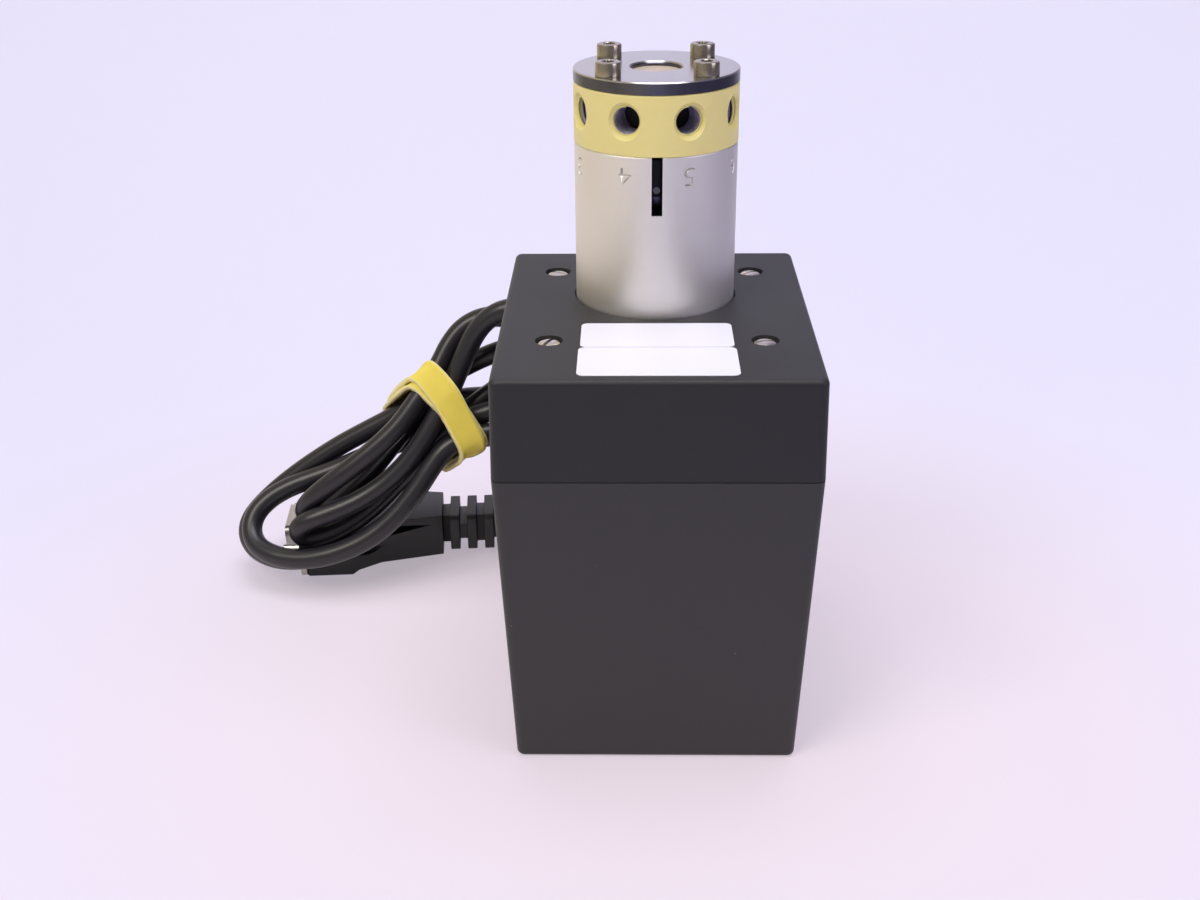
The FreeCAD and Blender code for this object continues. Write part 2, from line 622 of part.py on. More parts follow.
def port_cutter():
    """One port along +X: countersunk mouth, threaded bore, and the passage down to the seal's face."""
    bore_end = STATOR_R - PORT_DEPTH
    bore = Part.makeCylinder(PORT_R, PORT_DEPTH + 1, V(bore_end, 0, PORT_Z), X_AXIS)
    slope = (PORT_MOUTH_R - PORT_R) / PORT_MOUTH_DEPTH
    mouth = Part.makeCone(PORT_R, PORT_R + slope * 2 * PORT_MOUTH_DEPTH, 2 * PORT_MOUTH_DEPTH,
                          V(STATOR_R - PORT_MOUTH_DEPTH, 0, PORT_Z), X_AXIS)
    across = Part.makeCylinder(PASSAGE_R, bore_end - PASSAGE_CIRCLE_R + 1,
                               V(PASSAGE_CIRCLE_R, 0, PORT_Z), X_AXIS)
    down = cylinder(PASSAGE_R, BODY_TOP - 1, PORT_Z + PASSAGE_R, PASSAGE_CIRCLE_R, 0)
    return fuse([bore, mouth, across, down])


def make_stator():
    stator = cylinder(STATOR_R, BODY_TOP, STATOR_TOP)
    stator = stator.makeFillet(STATOR_EDGE, edges_at_level(stator, STATOR_TOP))
    stator = fuse([stator, cylinder(BOSS_RING_R, STATOR_TOP, STATOR_TOP + BOSS_RING_HEIGHT)])
    cutter = port_cutter()
    for angle in PORT_ANGLES:
        stator = stator.cut(radial(cutter, angle))
    for angle in STATOR_SCREW_ANGLES:
        stator = stator.cut(cylinder(STATOR_SCREW_HOLE_R, BODY_TOP - 1, STATOR_TOP + 1,
                                     *polar(STATOR_SCREW_CIRCLE_R, angle)))
    for angle in DOWEL_ANGLES:
        stator = stator.cut(cylinder(DOWEL_R + SEAT_GAP, BODY_TOP - 1, BODY_TOP + DOWEL_DEPTH,
                                     *polar(STATOR_SCREW_CIRCLE_R, angle)))
    return on_valve_axis(stator)


def make_pressure_ring():
    shape = cylinder(STATOR_R, STATOR_TOP, RING_TOP)
    shape = shape.makeChamfer(RING_EDGE, edges_at_level(shape, RING_TOP))
    shape = shape.cut(cylinder(RING_HOLE_R, STATOR_TOP - 1, RING_TOP + 1))
    shape = shape.cut(Part.makeCone(RING_HOLE_R, RING_HOLE_R + 2 * RING_HOLE_BEVEL, 2 * RING_HOLE_BEVEL,
                                    V(0, 0, RING_TOP - RING_HOLE_BEVEL)))
    for angle in STATOR_SCREW_ANGLES:
        shape = shape.cut(cylinder(STATOR_SCREW_HOLE_R, STATOR_TOP - 1, RING_TOP + 1,
                                   *polar(STATOR_SCREW_CIRCLE_R, angle)))
    return on_valve_axis(shape)


def make_stator_screws():
    return Part.makeCompound([
        cap_screw(x, y, RING_TOP, BODY_TOP - STATOR_SCREW_GRIP)
        for x, y in around_valve(STATOR_SCREW_CIRCLE_R, STATOR_SCREW_ANGLES)])


def make_stator_dowels():
    return Part.makeCompound([
        cylinder(DOWEL_R, BODY_TOP - DOWEL_DEPTH, BODY_TOP + DOWEL_DEPTH, x, y)
        for x, y in around_valve(STATOR_SCREW_CIRCLE_R, DOWEL_ANGLES)])


# ---------------------------------------------------------------- rotor
def seal_pin_places():
    return [polar(SEAL_PIN_CIRCLE_R, 30 + 360 / SEAL_PIN_COUNT * k) for k in range(SEAL_PIN_COUNT)]


def make_rotor_seal():
    """The turning disc: three grooves join neighbouring passages of the stator."""
    seal = cylinder(SEAL_R, CARRIER_TOP, SEAL_TOP)
    for k in range(3):
        start = FIRST_PORT_DEG + 2 * k * PORT_PITCH_DEG
        inner, outer = PASSAGE_CIRCLE_R - GROOVE_WIDTH / 2, PASSAGE_CIRCLE_R + GROOVE_WIDTH / 2
        foot = SEAL_TOP - GROOVE_DEPTH
        sector = Part.makeCylinder(outer, 2 * GROOVE_DEPTH, V(0, 0, foot), Z_AXIS, PORT_PITCH_DEG)
        groove = sector.cut(cylinder(inner, foot - 1, SEAL_TOP + 1))
        seal = seal.cut(radial(groove, start))
    for x, y in seal_pin_places():
        seal = seal.cut(cylinder(SEAL_PIN_R + SEAT_GAP, CARRIER_TOP - 1, CARRIER_TOP + SEAL_PIN_DEPTH, x, y))
    return on_valve_axis(seal)


def make_seal_pins():
    return on_valve_axis(Part.makeCompound([
        cylinder(SEAL_PIN_R, CARRIER_TOP - SEAL_PIN_DEPTH, CARRIER_TOP + SEAL_PIN_DEPTH, x, y)
        for x, y in seal_pin_places()]))


def carrier_pin_bore():
    return Part.makeCylinder(CARRIER_PIN_R + SEAT_GAP, 2 * CARRIER_R + 2,
                             V(0, -CARRIER_R - 1, CARRIER_PIN_Z), Y_AXIS)


def make_rotor_carrier():
    carrier = cylinder(CARRIER_R, CARRIER_FOOT, CARRIER_TOP)
    carrier = carrier.cut(cylinder(SHAFT_R + SEAT_GAP, CARRIER_FOOT - 1, SHAFT_TOP))
    carrier = carrier.cut(carrier_pin_bore())
    for x, y in seal_pin_places():
        carrier = carrier.cut(cylinder(SEAL_PIN_R + SEAT_GAP, CARRIER_TOP - SEAL_PIN_DEPTH, CARRIER_TOP + 1, x, y))
    return on_valve_axis(carrier)


def make_carrier_pin():
    pin_end = CARRIER_R - SEAT_GAP * 5
    pin = Part.makeCylinder(CARRIER_PIN_R, 2 * pin_end, V(0, -pin_end, CARRIER_PIN_Z), Y_AXIS)
    return on_valve_axis(pin)


def clip_levels():
    return UPPER_PLATE_FOOT - CLIP_THICK, UPPER_PLATE_FOOT


def make_drive_shaft():
    shaft = cylinder(SHAFT_R, SHAFT_FOOT, SHAFT_TOP)
    low, high = clip_levels()
    shaft = shaft.cut(ring(SHAFT_R - CLIP_DEPTH, SHAFT_R + 1, low, high))
    return on_valve_axis(shaft.cut(carrier_pin_bore()))


def make_shaft_clip():
    """A retaining ring, open at the front, that holds the ball bearing's inner ring from below."""
    low, high = clip_levels()
    clip = ring(SHAFT_R - CLIP_DEPTH, CLIP_R, low, high)
    mouth = block(-SHAFT_R / 2, SHAFT_R / 2, -CLIP_R - 1, 0, low - 1, high + 1)
    return on_valve_axis(clip.cut(mouth))


def make_thrust_race(low, inner):
    return on_valve_axis(ring(inner, RACE_R, low, low + RACE))


def roller_blocks(extra):
    """The rollers, or with extra their pockets, all round the shaft."""
    middle = (SHAFT_R + SHAFT_CLEARANCE + THRUST_CAGE_R) / 2
    length = ROLLER_LENGTH + 2 * extra
    made = []
    for k in range(ROLLER_COUNT):
        roller = Part.makeCylinder(ROLLER_R + extra, length, V(middle - length / 2, 0, ROLLER_Z), X_AXIS)
        made.append(radial(roller, 360 / ROLLER_COUNT * k))
    return made


def make_thrust_rollers():
    return on_valve_axis(Part.makeCompound(roller_blocks(0)))


def make_thrust_cage():
    cage = ring(SHAFT_R + SHAFT_CLEARANCE, THRUST_CAGE_R, ROLLER_Z - THRUST_CAGE / 2, ROLLER_Z + THRUST_CAGE / 2)
    for pocket in roller_blocks(SEAT_GAP):
        cage = cage.cut(pocket)
    return on_valve_axis(cage)


def make_disc_springs():
    """Cupped washers stacked face to face, so that each pair opens like a bellows."""
    pitch = (SPRING_TOP - BORE_FLOOR) / SPRING_COUNT
    rise = pitch - SPRING_THICK
    inner = SHAFT_R + SHAFT_CLEARANCE
    washers = []
    for k in range(SPRING_COUNT):
        foot = BORE_FLOOR + k * pitch
        at_rim, at_hole = (foot, foot + rise) if k % 2 == 0 else (foot + rise, foot)
        washers.append(revolved([
            (inner, at_hole), (SPRING_R, at_rim),
            (SPRING_R, at_rim + SPRING_THICK), (inner, at_hole + SPRING_THICK)]))
    return on_valve_axis(Part.makeCompound(washers))


# ---------------------------------------------------------------- bushes and ball bearing
def make_upper_bush():
    return on_valve_axis(ring(SHAFT_R + RUNNING_GAP, BUSH_R, BORE_FLOOR - BUSH_LENGTH, BORE_FLOOR))


def make_lower_bush():
    flange_r = BUSH_R + 1.5
    sleeve = cylinder(BUSH_R, LOWER_PLATE_FOOT, LOWER_PLATE_TOP)
    flange = cylinder(flange_r, LOWER_PLATE_TOP, LOWER_PLATE_TOP + 1.0)
    bush = fuse([sleeve, flange])
    return on_valve_axis(bush.cut(cylinder(SHAFT_R + RUNNING_GAP, LOWER_PLATE_FOOT - 1, LOWER_PLATE_TOP + 2)))


BALL_CIRCLE_R = (SHAFT_R + BEARING_R) / 2
BALL_Z = UPPER_PLATE_FOOT + BEARING_WIDTH / 2


def ball_track():
    return Part.makeTorus(BALL_CIRCLE_R, BALL_R + ROLLING_GAP, V(0, 0, BALL_Z))


def make_bearing_outer_ring():
    inner = BALL_CIRCLE_R + BALL_R * RING_SHARE
    shape = ring(inner, BEARING_R, UPPER_PLATE_FOOT, UPPER_PLATE_FOOT + BEARING_WIDTH)
    return on_valve_axis(shape.cut(ball_track()))


def make_bearing_inner_ring():
    outer = BALL_CIRCLE_R - BALL_R * RING_SHARE
    shape = ring(SHAFT_R + SEAT_GAP, outer, UPPER_PLATE_FOOT, UPPER_PLATE_FOOT + BEARING_WIDTH)
    return on_valve_axis(shape.cut(ball_track()))


def ball_places():
    return [V(*polar(BALL_CIRCLE_R, 360 / BALL_COUNT * k), BALL_Z) for k in range(BALL_COUNT)]


def make_bearing_balls():
    return on_valve_axis(Part.makeCompound([Part.makeSphere(BALL_R, place) for place in ball_places()]))


def make_bearing_cage():
    half = BALL_R * RING_SHARE - CAGE_GAP
    half_height = BEARING_WIDTH / 2 - CAGE_GAP
    cage = ring(BALL_CIRCLE_R - half, BALL_CIRCLE_R + half, BALL_Z - half_height, BALL_Z + half_height)
    for k in range(BALL_COUNT):
        pocket = Part.makeCylinder(BALL_R + SEAT_GAP, 2 * BALL_R, V(BALL_CIRCLE_R - BALL_R, 0, BALL_Z), X_AXIS)
        cage = cage.cut(radial(pocket, 360 / BALL_COUNT * k))
    return on_valve_axis(cage)


# ---------------------------------------------------------------- gears
def gear_outline(teeth):
    """Corner points (radius, angle) of an involute gear with a tooth centred on angle 0."""
    pitch_r = MODULE * teeth / 2
    base_r = pitch_r * math.cos(math.radians(PRESSURE_DEG))
    tip_r, root_r = pitch_r + MODULE, pitch_r - 1.25 * MODULE
    involute = lambda r: math.tan(math.acos(min(1, base_r / r))) - math.acos(min(1, base_r / r))
    half_at_pitch = (math.pi * MODULE / 2 - BACKLASH) / 2 / pitch_r
    flank_foot = max(base_r, root_r)
    steps = 4
    flank = []
    for k in range(steps + 1):
        r = flank_foot + (tip_r - flank_foot) * k / steps
        flank.append((r, half_at_pitch + involute(pitch_r) - involute(r)))
    foot = [(root_r, flank[0][1])] if root_r < flank_foot else []
    half_tooth = foot + flank
    tooth = [(r, -a) for r, a in half_tooth] + [(r, a) for r, a in reversed(half_tooth)]
    step = 2 * math.pi / teeth
    return [(r, a + k * step) for k in range(teeth) for r, a in tooth]


def gear(teeth, low, high, start_degrees):
    start = math.radians(start_degrees)
    points = [V(r * math.cos(a + start), r * math.sin(a + start), low) for r, a in gear_outline(teeth)]
    return Part.Face(Part.makePolygon([*points, points[0]])).extrude(V(0, 0, high - low))


def grub_screw_hole(outer_r, z, extra):
    return Part.makeCylinder(GRUB_R + extra, outer_r + 1, V(0, 0, z), X_AXIS)


def make_output_gear():
    hub_top = GEAR_TOP + GEAR_HUB
    wheel = fuse([gear(GEAR_TEETH, GEAR_FOOT, GEAR_TOP, -90), cylinder(GEAR_HUB_R, GEAR_TOP, hub_top)])
    wheel = wheel.cut(cylinder(SHAFT_R + SEAT_GAP, GEAR_FOOT - 1, hub_top + 1))
    return on_valve_axis(wheel.cut(grub_screw_hole(GEAR_HUB_R, GEAR_TOP + GEAR_HUB / 2, SEAT_GAP)))


def make_gear_grub_screw():
    z = GEAR_TOP + GEAR_HUB / 2
    start = SHAFT_R + SEAT_GAP
    return on_valve_axis(Part.makeCylinder(GRUB_R, GEAR_HUB_R - start, V(start, 0, z), X_AXIS))


def make_motor_pinion():
    foot, top = GEAR_FOOT - PINION_EXTRA / 2, GEAR_TOP + PINION_EXTRA / 2
    shape = gear(PINION_TEETH, foot, top, 90 + 180 / PINION_TEETH)
    shape = fuse([shape, cylinder(PINION_HUB_R, top, top + GEAR_HUB)])
    shape = shape.cut(cylinder(MOTOR_SHAFT_R + SEAT_GAP, foot - 1, top + GEAR_HUB + 1))
    shape.translate(V(0, MOTOR_Y, 0))
    return shape


# ---------------------------------------------------------------- gearmotor
GEARHEAD_FOOT = LOWER_PLATE_FOOT - GEARHEAD_LENGTH
MOTOR_FOOT = GEARHEAD_FOOT - MOTOR_LENGTH
PINION_TOP = GEAR_TOP + PINION_EXTRA / 2 + GEAR_HUB


def make_motor_gearhead():
    head = fuse([
        cylinder(GEARHEAD_R, GEARHEAD_FOOT, LOWER_PLATE_FOOT, 0, MOTOR_Y),
        cylinder(MOTOR_BOSS_R, LOWER_PLATE_FOOT, LOWER_PLATE_FOOT + MOTOR_BOSS, 0, MOTOR_Y)])
    head = head.cut(cylinder(MOTOR_SHAFT_R + RUNNING_GAP, LOWER_PLATE_FOOT - MOTOR_SHAFT_IN_HEAD,
                             LOWER_PLATE_TOP, 0, MOTOR_Y))
    for x, y in motor_screw_places():
        head = head.cut(cylinder(M25_R + SEAT_GAP, LOWER_PLATE_FOOT - MOTOR_SCREW_GRIP - FREE_GAP,
                                 LOWER_PLATE_TOP, x, y))
    return head


def make_motor_shaft():
    foot = LOWER_PLATE_FOOT - MOTOR_SHAFT_IN_HEAD + RUNNING_GAP
    return cylinder(MOTOR_SHAFT_R, foot, PINION_TOP, 0, MOTOR_Y)


def make_motor_can():
    can = cylinder(MOTOR_R, MOTOR_FOOT, GEARHEAD_FOOT, 0, MOTOR_Y)
    return can.makeFillet(1.0, edges_at_level(can, MOTOR_FOOT))


def make_motor_end_cap():
    cap = cylinder(MOTOR_R - 1.5, MOTOR_FOOT - END_CAP, MOTOR_FOOT, 0, MOTOR_Y)
    thick, wide, tall = TERMINAL
    low = MOTOR_FOOT - END_CAP - tall
    terminals = [
        block(side * TERMINAL_SPREAD - thick / 2, side * TERMINAL_SPREAD + thick / 2,
              MOTOR_Y - wide / 2, MOTOR_Y + wide / 2, low, MOTOR_FOOT - END_CAP)
        for side in (-1, 1)]
    return fuse([cap, *terminals])


def make_motor_screws():
    screws = []
    for x, y in motor_screw_places():
        head = cylinder(SMALL_HEAD_R, LOWER_PLATE_TOP, LOWER_PLATE_TOP + SMALL_HEAD, x, y)
        shank = cylinder(M25_R, LOWER_PLATE_FOOT - MOTOR_SCREW_GRIP, LOWER_PLATE_TOP, x, y)
        screws.append(fuse([head, shank]))
    return Part.makeCompound(screws)


# ---------------------------------------------------------------- position disc, sensor, electronics
DISC_TOP = LOWER_PLATE_FOOT - DISC_BELOW_PLATE


def make_position_disc():
    disc = fuse([cylinder(DISC_R, DISC_TOP - DISC_THICK, DISC_TOP),
                 cylinder(DISC_HUB_R, DISC_TOP - DISC_HUB, DISC_TOP)])
    disc = disc.cut(cylinder(SHAFT_R + SEAT_GAP, DISC_TOP - DISC_HUB - 1, DISC_TOP + 1))
    wide, long = DISC_SLOT
    for k in range(DISC_SLOT_COUNT):
        slot = block(DISC_R - 0.8 - long, DISC_R - 0.8, -wide / 2, wide / 2, DISC_TOP - DISC_HUB, DISC_TOP + 1)
        disc = disc.cut(radial(slot, 360 / DISC_SLOT_COUNT * (k + 0.5)))
    return on_valve_axis(disc)


def make_position_sensor():
    wide, deep, tall = SENSOR
    front = VALVE_Y + DISC_R - SENSOR_REACH
    sensor = block(-wide / 2, wide / 2, front, front + deep, LOWER_PLATE_FOOT - tall, LOWER_PLATE_FOOT)
    gap = block(-wide, wide, front - 1, front + SENSOR_REACH + SENSOR_GAP,
                DISC_TOP - DISC_THICK - SENSOR_GAP, DISC_TOP + SENSOR_GAP)
    return sensor.cut(gap)


def make_circuit_board():
    board = block(-BOARD_WIDTH / 2, BOARD_WIDTH / 2, BOARD_Y, BOARD_Y + BOARD,
                  BOARD_FOOT, BOARD_FOOT + BOARD_HEIGHT)
    for x, z in board_post_places():
        board = board.cut(along_y(M25_R + RUNNING_GAP, BOARD_Y - 1, BOARD_Y + BOARD + 1, x, z))
    return board


def make_board_screws():
    screws = []
    for x, z in board_post_places():
        head = along_y(SMALL_HEAD_R, BOARD_Y - SMALL_HEAD, BOARD_Y, x, z)
        shank = along_y(M25_R, BOARD_Y, BOARD_Y + BOARD + THREAD_GRIP / 2, x, z)
        screws.append(fuse([head, shank]))
    return Part.makeCompound(screws)


def board_middle_z():
    return BOARD_FOOT + BOARD_HEIGHT / 2


def make_board_chips():
    """Driver, controller and regulator packages on the board's front."""
    middle = board_middle_z()
    return Part.makeCompound([
        block(x - wide / 2, x + wide / 2, BOARD_Y - thick, BOARD_Y,
              middle + z - tall / 2, middle + z + tall / 2)
        for x, z, wide, tall, thick in CHIPS])


def make_board_capacitors():
    return Part.makeCompound([
        along_y(CAPACITOR_R, BOARD_Y - CAPACITOR_LENGTH, BOARD_Y, x, board_middle_z() + z)
        for x, z in CAPACITOR_PLACES])


def make_board_header():
    """Sockets on the board's back, where the cable's leads plug in."""
    wide, deep, tall = HEADER
    back, middle = BOARD_Y + BOARD, board_middle_z()
    return block(-wide / 2, wide / 2, back, back + deep, middle - tall / 2, middle + tall / 2)


# ---------------------------------------------------------------- gland, cable and hank
def make_cable_gland():
    """A moulded strain relief that is pushed through the back wall and held by a nut."""
    wall_y = housing_depth(GLAND_Z) / 2
    flange_end = wall_y + GLAND_FLANGE
    outside = along_y(GLAND_FLANGE_R, wall_y - WALL, flange_end, GLAND_X, GLAND_Z).cut(base_block(0, 0))
    shank = along_y(GLAND_SHANK_R, wall_y - WALL - 2 * GLAND_NUT, flange_end - GLAND_FLANGE / 2, GLAND_X, GLAND_Z)
    tail = Part.makeCone(GLAND_TAIL_R, CABLE_R + GLAND_END_WALL, GLAND_TAIL_END_Y - flange_end,
                         V(GLAND_X, flange_end, GLAND_Z), Y_AXIS)
    gland = fuse([outside, shank, tail])
    pitch = (GLAND_TAIL_END_Y - flange_end) / (GLAND_RIBS + 1)
    for k in range(GLAND_RIBS):
        middle = flange_end + pitch * (k + 0.75)
        groove = along_y(GLAND_FLANGE_R, middle, middle + pitch * 0.35, GLAND_X, GLAND_Z)
        core = along_y(CABLE_R + GLAND_GROOVE_WALL, middle - 1, middle + pitch, GLAND_X, GLAND_Z)
        gland = gland.cut(groove.cut(core))
    return gland


def make_gland_nut():
    inner_wall = base_block(WALL, FLOOR)
    nut = hexagonal_prism(GLAND_NUT_AF, 0, GLAND_NUT + WALL, turn=30)
    nut.rotate(V(0, 0, 0), X_AXIS, -90)
    nut.translate(V(GLAND_X, housing_depth(GLAND_Z) / 2 - WALL - GLAND_NUT, GLAND_Z))
    return nut.common(inner_wall).cut(along_y(GLAND_SHANK_R + SEAT_GAP, 0, SEAM_DEPTH, GLAND_X, GLAND_Z))


# the cable's route, by hand: out of the gland, and from the hank to the plug's strain relief
LEAD_ROUTE = [
    V(18, 50, 22), V(18, 59, 22), V(17.8, 70.5, 26), V(17, 79.5, 34), V(14.5, 84.5, 45),
    V(7.5, 84.2, 55.5), V(-3.5, 79.5, 62), V(-15, 72.6, 64), V(-36, 61, 51.6)]
TAIL_ROUTE = [
    V(-3, 54.5, 63), V(9, 57.5, 60), V(21, 63.5, 53.5), V(29, 71.5, 43.5), V(30.5, 79, 31),
    V(25.5, 83.5, 19), V(14.5, 75.8, 11), V(3, 67.3, 7.7), V(-9.665, 63.85, 7.3), V(-22.625, 62.83, 7.3)]

# the hank's own frame: along it, across it towards the front and the floor, and out to the front
HANK_AT = V(-52, 50, 48)
HANK_ALONG = V(0.8366, 0, 0.5478)
HANK_ACROSS = V(0.5258, -0.2806, -0.8030)
HANK_OUT = V(-0.1537, -0.9598, 0.2348)
HANK_BACK, HANK_FRONT = -5.5, 8.5
HANK_LOOPS_LEFT = [
    (-14, -9.5), (-37, -11.2), (-52, -11), (-66, -7.6), (-73.5, 0), (-71, 9), (-60, 17),
    (-47, 21), (-36, 20.5), (-21, 16.5), (-7.7, 13), (10, 9), (11, -13), (-2, -12.5)]
HANK_FAN_FRONT = 15.5   # the lowest loops bulge forward
HANK_FAN = [
    (-22, -6), (-37, -9), (-52, -9), (-64, -6), (-70, 0), (-68, 8), (-58, 16), (-47, 20.5), (-36, 20), (-22, 14)]
HANK_LOOPS_RIGHT = [
    (-47, 66), (-38, 74), (-22, 78), (-8, 74.5), (0, 65), (-1, 54), (-9, 45), (-24, 40), (-38, 38.5), (-47, 45)]
HANK_RIGHT_Y = (45.0, 63.0)
HANK_FLOOR_GAP = 0.3
BAND_THICK = 1.2
BAND_OUTLINE = [(-15.2, -11), (-1.2, -14), (6, 9), (-7, 14.6)]


def hank_point(along, across, out):
    return HANK_AT + HANK_ALONG * along + HANK_ACROSS * across + HANK_OUT * out


def make_cable_hank():
    """The tied cable as one solid: the fan of loops left of the band and the one behind the housing."""
    left = Part.Face(rounded_outline([hank_point(a, c, HANK_BACK) for a, c in HANK_LOOPS_LEFT]))
    left = left.extrude(HANK_OUT * (HANK_FRONT - HANK_BACK))
    fan = Part.Face(rounded_outline([hank_point(a, c, HANK_FRONT) for a, c in HANK_FAN]))
    fan = fan.extrude(HANK_OUT * (HANK_FAN_FRONT - HANK_FRONT))
    low, high = HANK_RIGHT_Y
    right = Part.Face(rounded_outline([V(x, low, z) for x, z in HANK_LOOPS_RIGHT]))
    right = right.extrude(V(0, high - low, 0))
    hank = fuse([left, fan, right])
    reach = 200.0
    hank = hank.common(block(-reach, reach, -reach, reach, HANK_FLOOR_GAP, reach))
    around_plug = [placed_on_plug(shape) for shape in plug_envelope(HANK_FLOOR_GAP)]
    for shape in around_plug:
        hank = hank.cut(shape)
    return hank


def make_hank_band(hank):
    """The rubber band, wound tightly round the hank's waist."""
    back, front = HANK_BACK - BAND_THICK, HANK_FRONT + BAND_THICK
    corners = [hank_point(a, c, back) for a, c in BAND_OUTLINE]
    prism = Part.Face(Part.makePolygon([*corners, corners[0]])).extrude(HANK_OUT * (front - back))
    return prism.cut(hank)


# ---------------------------------------------------------------- plug on the cable's end
def placed_on_plug(shape):
    """From the plug's frame (X to its rear, Y across, Z up, origin at the hood's front) to the part's."""
    placed = shape.copy()
    placed.rotate(V(0, 0, 0), Z_AXIS, PLUG_TURN_DEG)
    placed.translate(PLUG_AT)
    return placed


def plug_envelope(gap):
    width, height = HOOD_WIDTH / 2 + gap, HOOD_HEIGHT / 2 + gap
    rear = HOOD_TAPER_WIDTH / 2 + gap
    front = -FLANGE - SHELL_LENGTH - gap
    return [
        block(front, HOOD_TAPER_END, -width, width, -height, height),
        block(HOOD_BLOCK, HOOD_LENGTH + RELIEF_LENGTH, -rear, rear, -height, height)]


def prism_from_plan(points, low, high):
    corners = [V(x, y, low) for x, y in points]
    return Part.Face(Part.makePolygon([*corners, corners[0]])).extrude(V(0, 0, high - low))


def prism_from_side(points, half_width):
    corners = [V(x, -half_width, z) for x, z in points]
    return Part.Face(Part.makePolygon([*corners, corners[0]])).extrude(V(0, 2 * half_width, 0))


def mirrored_outline(half):
    return [*half, *((x, -y) for x, y in reversed(half))]


def jack_places():
    return (-JACK_SPREAD / 2, JACK_SPREAD / 2)


def make_plug_hood():
    """The moulded hood: a wide block behind the connector that tapers to a grip."""
    half_width, half_rear = HOOD_WIDTH / 2, HOOD_REAR_WIDTH / 2
    half_height, half_rear_height = HOOD_HEIGHT / 2, HOOD_REAR_HEIGHT / 2
    plan = mirrored_outline([(0, half_width), (HOOD_BLOCK, half_width), (HOOD_TAPER_END, HOOD_TAPER_WIDTH / 2),
                             (HOOD_LENGTH, half_rear)])
    side = mirrored_outline([(0, half_height), (HOOD_BLOCK, half_height), (HOOD_BLOCK + 2, half_rear_height + 0.3),
                             (HOOD_LENGTH, half_rear_height)])
    hood = prism_from_plan(plan, -half_height, half_height).common(prism_from_side(side, half_width))
    corners = edges_where(hood, lambda p: p.x < HOOD_BLOCK + 0.01 and abs(abs(p.y) - half_width) < 0.01)
    hood = hood.makeFillet(0.8, [edge for edge in corners if edge.Length > HOOD_BLOCK / 2])
    for side_sign in (-1, 1):
        grip = prism_from_side([GRIP_APEX, (GRIP_FRONT, GRIP_TOP), (GRIP_FRONT, GRIP_FOOT)], half_rear)
        grip.translate(V(0, side_sign * (2 * half_rear - GRIP_DEPTH), 0))
        hood = hood.cut(grip)
    pocket_start = HOOD_BLOCK / 2
    for y in jack_places():
        hood = hood.cut(Part.makeCylinder(JACK_R + RUNNING_GAP, HOOD_LENGTH, V(-1, y, 0), X_AXIS))
        hood = hood.cut(Part.makeCylinder(JACK_HEAD_R + RUNNING_GAP, HOOD_LENGTH, V(pocket_start, y, 0), X_AXIS))
    return placed_on_plug(hood)


def rounded_bar(width, height, radius, x0, x1):
    bar = block(x0, x1, -width / 2, width / 2, -height / 2, height / 2)
    long_edges = [edge for edge in bar.Edges if abs(edge.Vertexes[0].X - edge.Vertexes[1].X) > 1e-3]
    return bar.makeFillet(radius, long_edges)


def make_plug_relief():
    """The strain relief behind the hood: a flat bar with slots across it, and a tapered end."""
    rear = HOOD_LENGTH + RELIEF_LENGTH
    slots_end = HOOD_LENGTH + RELIEF_PITCH * RELIEF_RIB_COUNT
    bar = rounded_bar(RELIEF_WIDTH, RELIEF_HEIGHT, 1.5, HOOD_LENGTH, slots_end)
    for k in range(RELIEF_RIB_COUNT):
        start = HOOD_LENGTH + RELIEF_PITCH * k
        side_depth, top_depth = (SLOT_DEEP, SLOT_SHALLOW) if k % 2 == 0 else (SLOT_SHALLOW, SLOT_DEEP)
        half_width, half_height = RELIEF_WIDTH / 2 - side_depth, RELIEF_HEIGHT / 2 - top_depth
        slot = block(start - 1 if k == 0 else start, start + RELIEF_PITCH - RELIEF_RIB,
                     -RELIEF_WIDTH, RELIEF_WIDTH, -RELIEF_HEIGHT, RELIEF_HEIGHT)
        bar = bar.cut(slot.cut(block(start - 2, start + RELIEF_PITCH, -half_width, half_width,
                                     -half_height, half_height)))
    end = Part.makeCone(RELIEF_CORE / 2, CABLE_R + 0.6, rear - slots_end, V(slots_end, 0, 0), X_AXIS)
    return placed_on_plug(fuse([bar, end]))


def d_outline(inset, x):
    """The D outline of the connector as a wire in the plane at x, wider at the top."""
    half_height = SHELL_HEIGHT / 2 - inset
    lean = math.tan(math.radians(SHELL_SLANT_DEG)) * half_height
    mid = SHELL_WIDTH / 2 - inset - math.tan(math.radians(SHELL_SLANT_DEG)) * SHELL_HEIGHT / 2
    corners = [V(x, mid + lean, half_height), V(x, -mid - lean, half_height),
               V(x, -mid + lean, -half_height), V(x, mid - lean, -half_height)]
    face = Part.Face(Part.makePolygon([*corners, corners[0]])).extrude(V(1, 0, 0))
    radius = SHELL_CORNER_R - inset
    long_edges = [edge for edge in face.Edges if abs(edge.Vertexes[0].X - edge.Vertexes[1].X) > 0.5]
    rounded = face.makeFillet(radius, long_edges)
    ends = [f for f in rounded.Faces if abs(f.CenterOfMass.x - x) < 1e-4]
    return ends[0].OuterWire


def d_prism(inset, x0, x1):
    return Part.Face(d_outline(inset, x0)).extrude(V(x1 - x0, 0, 0))


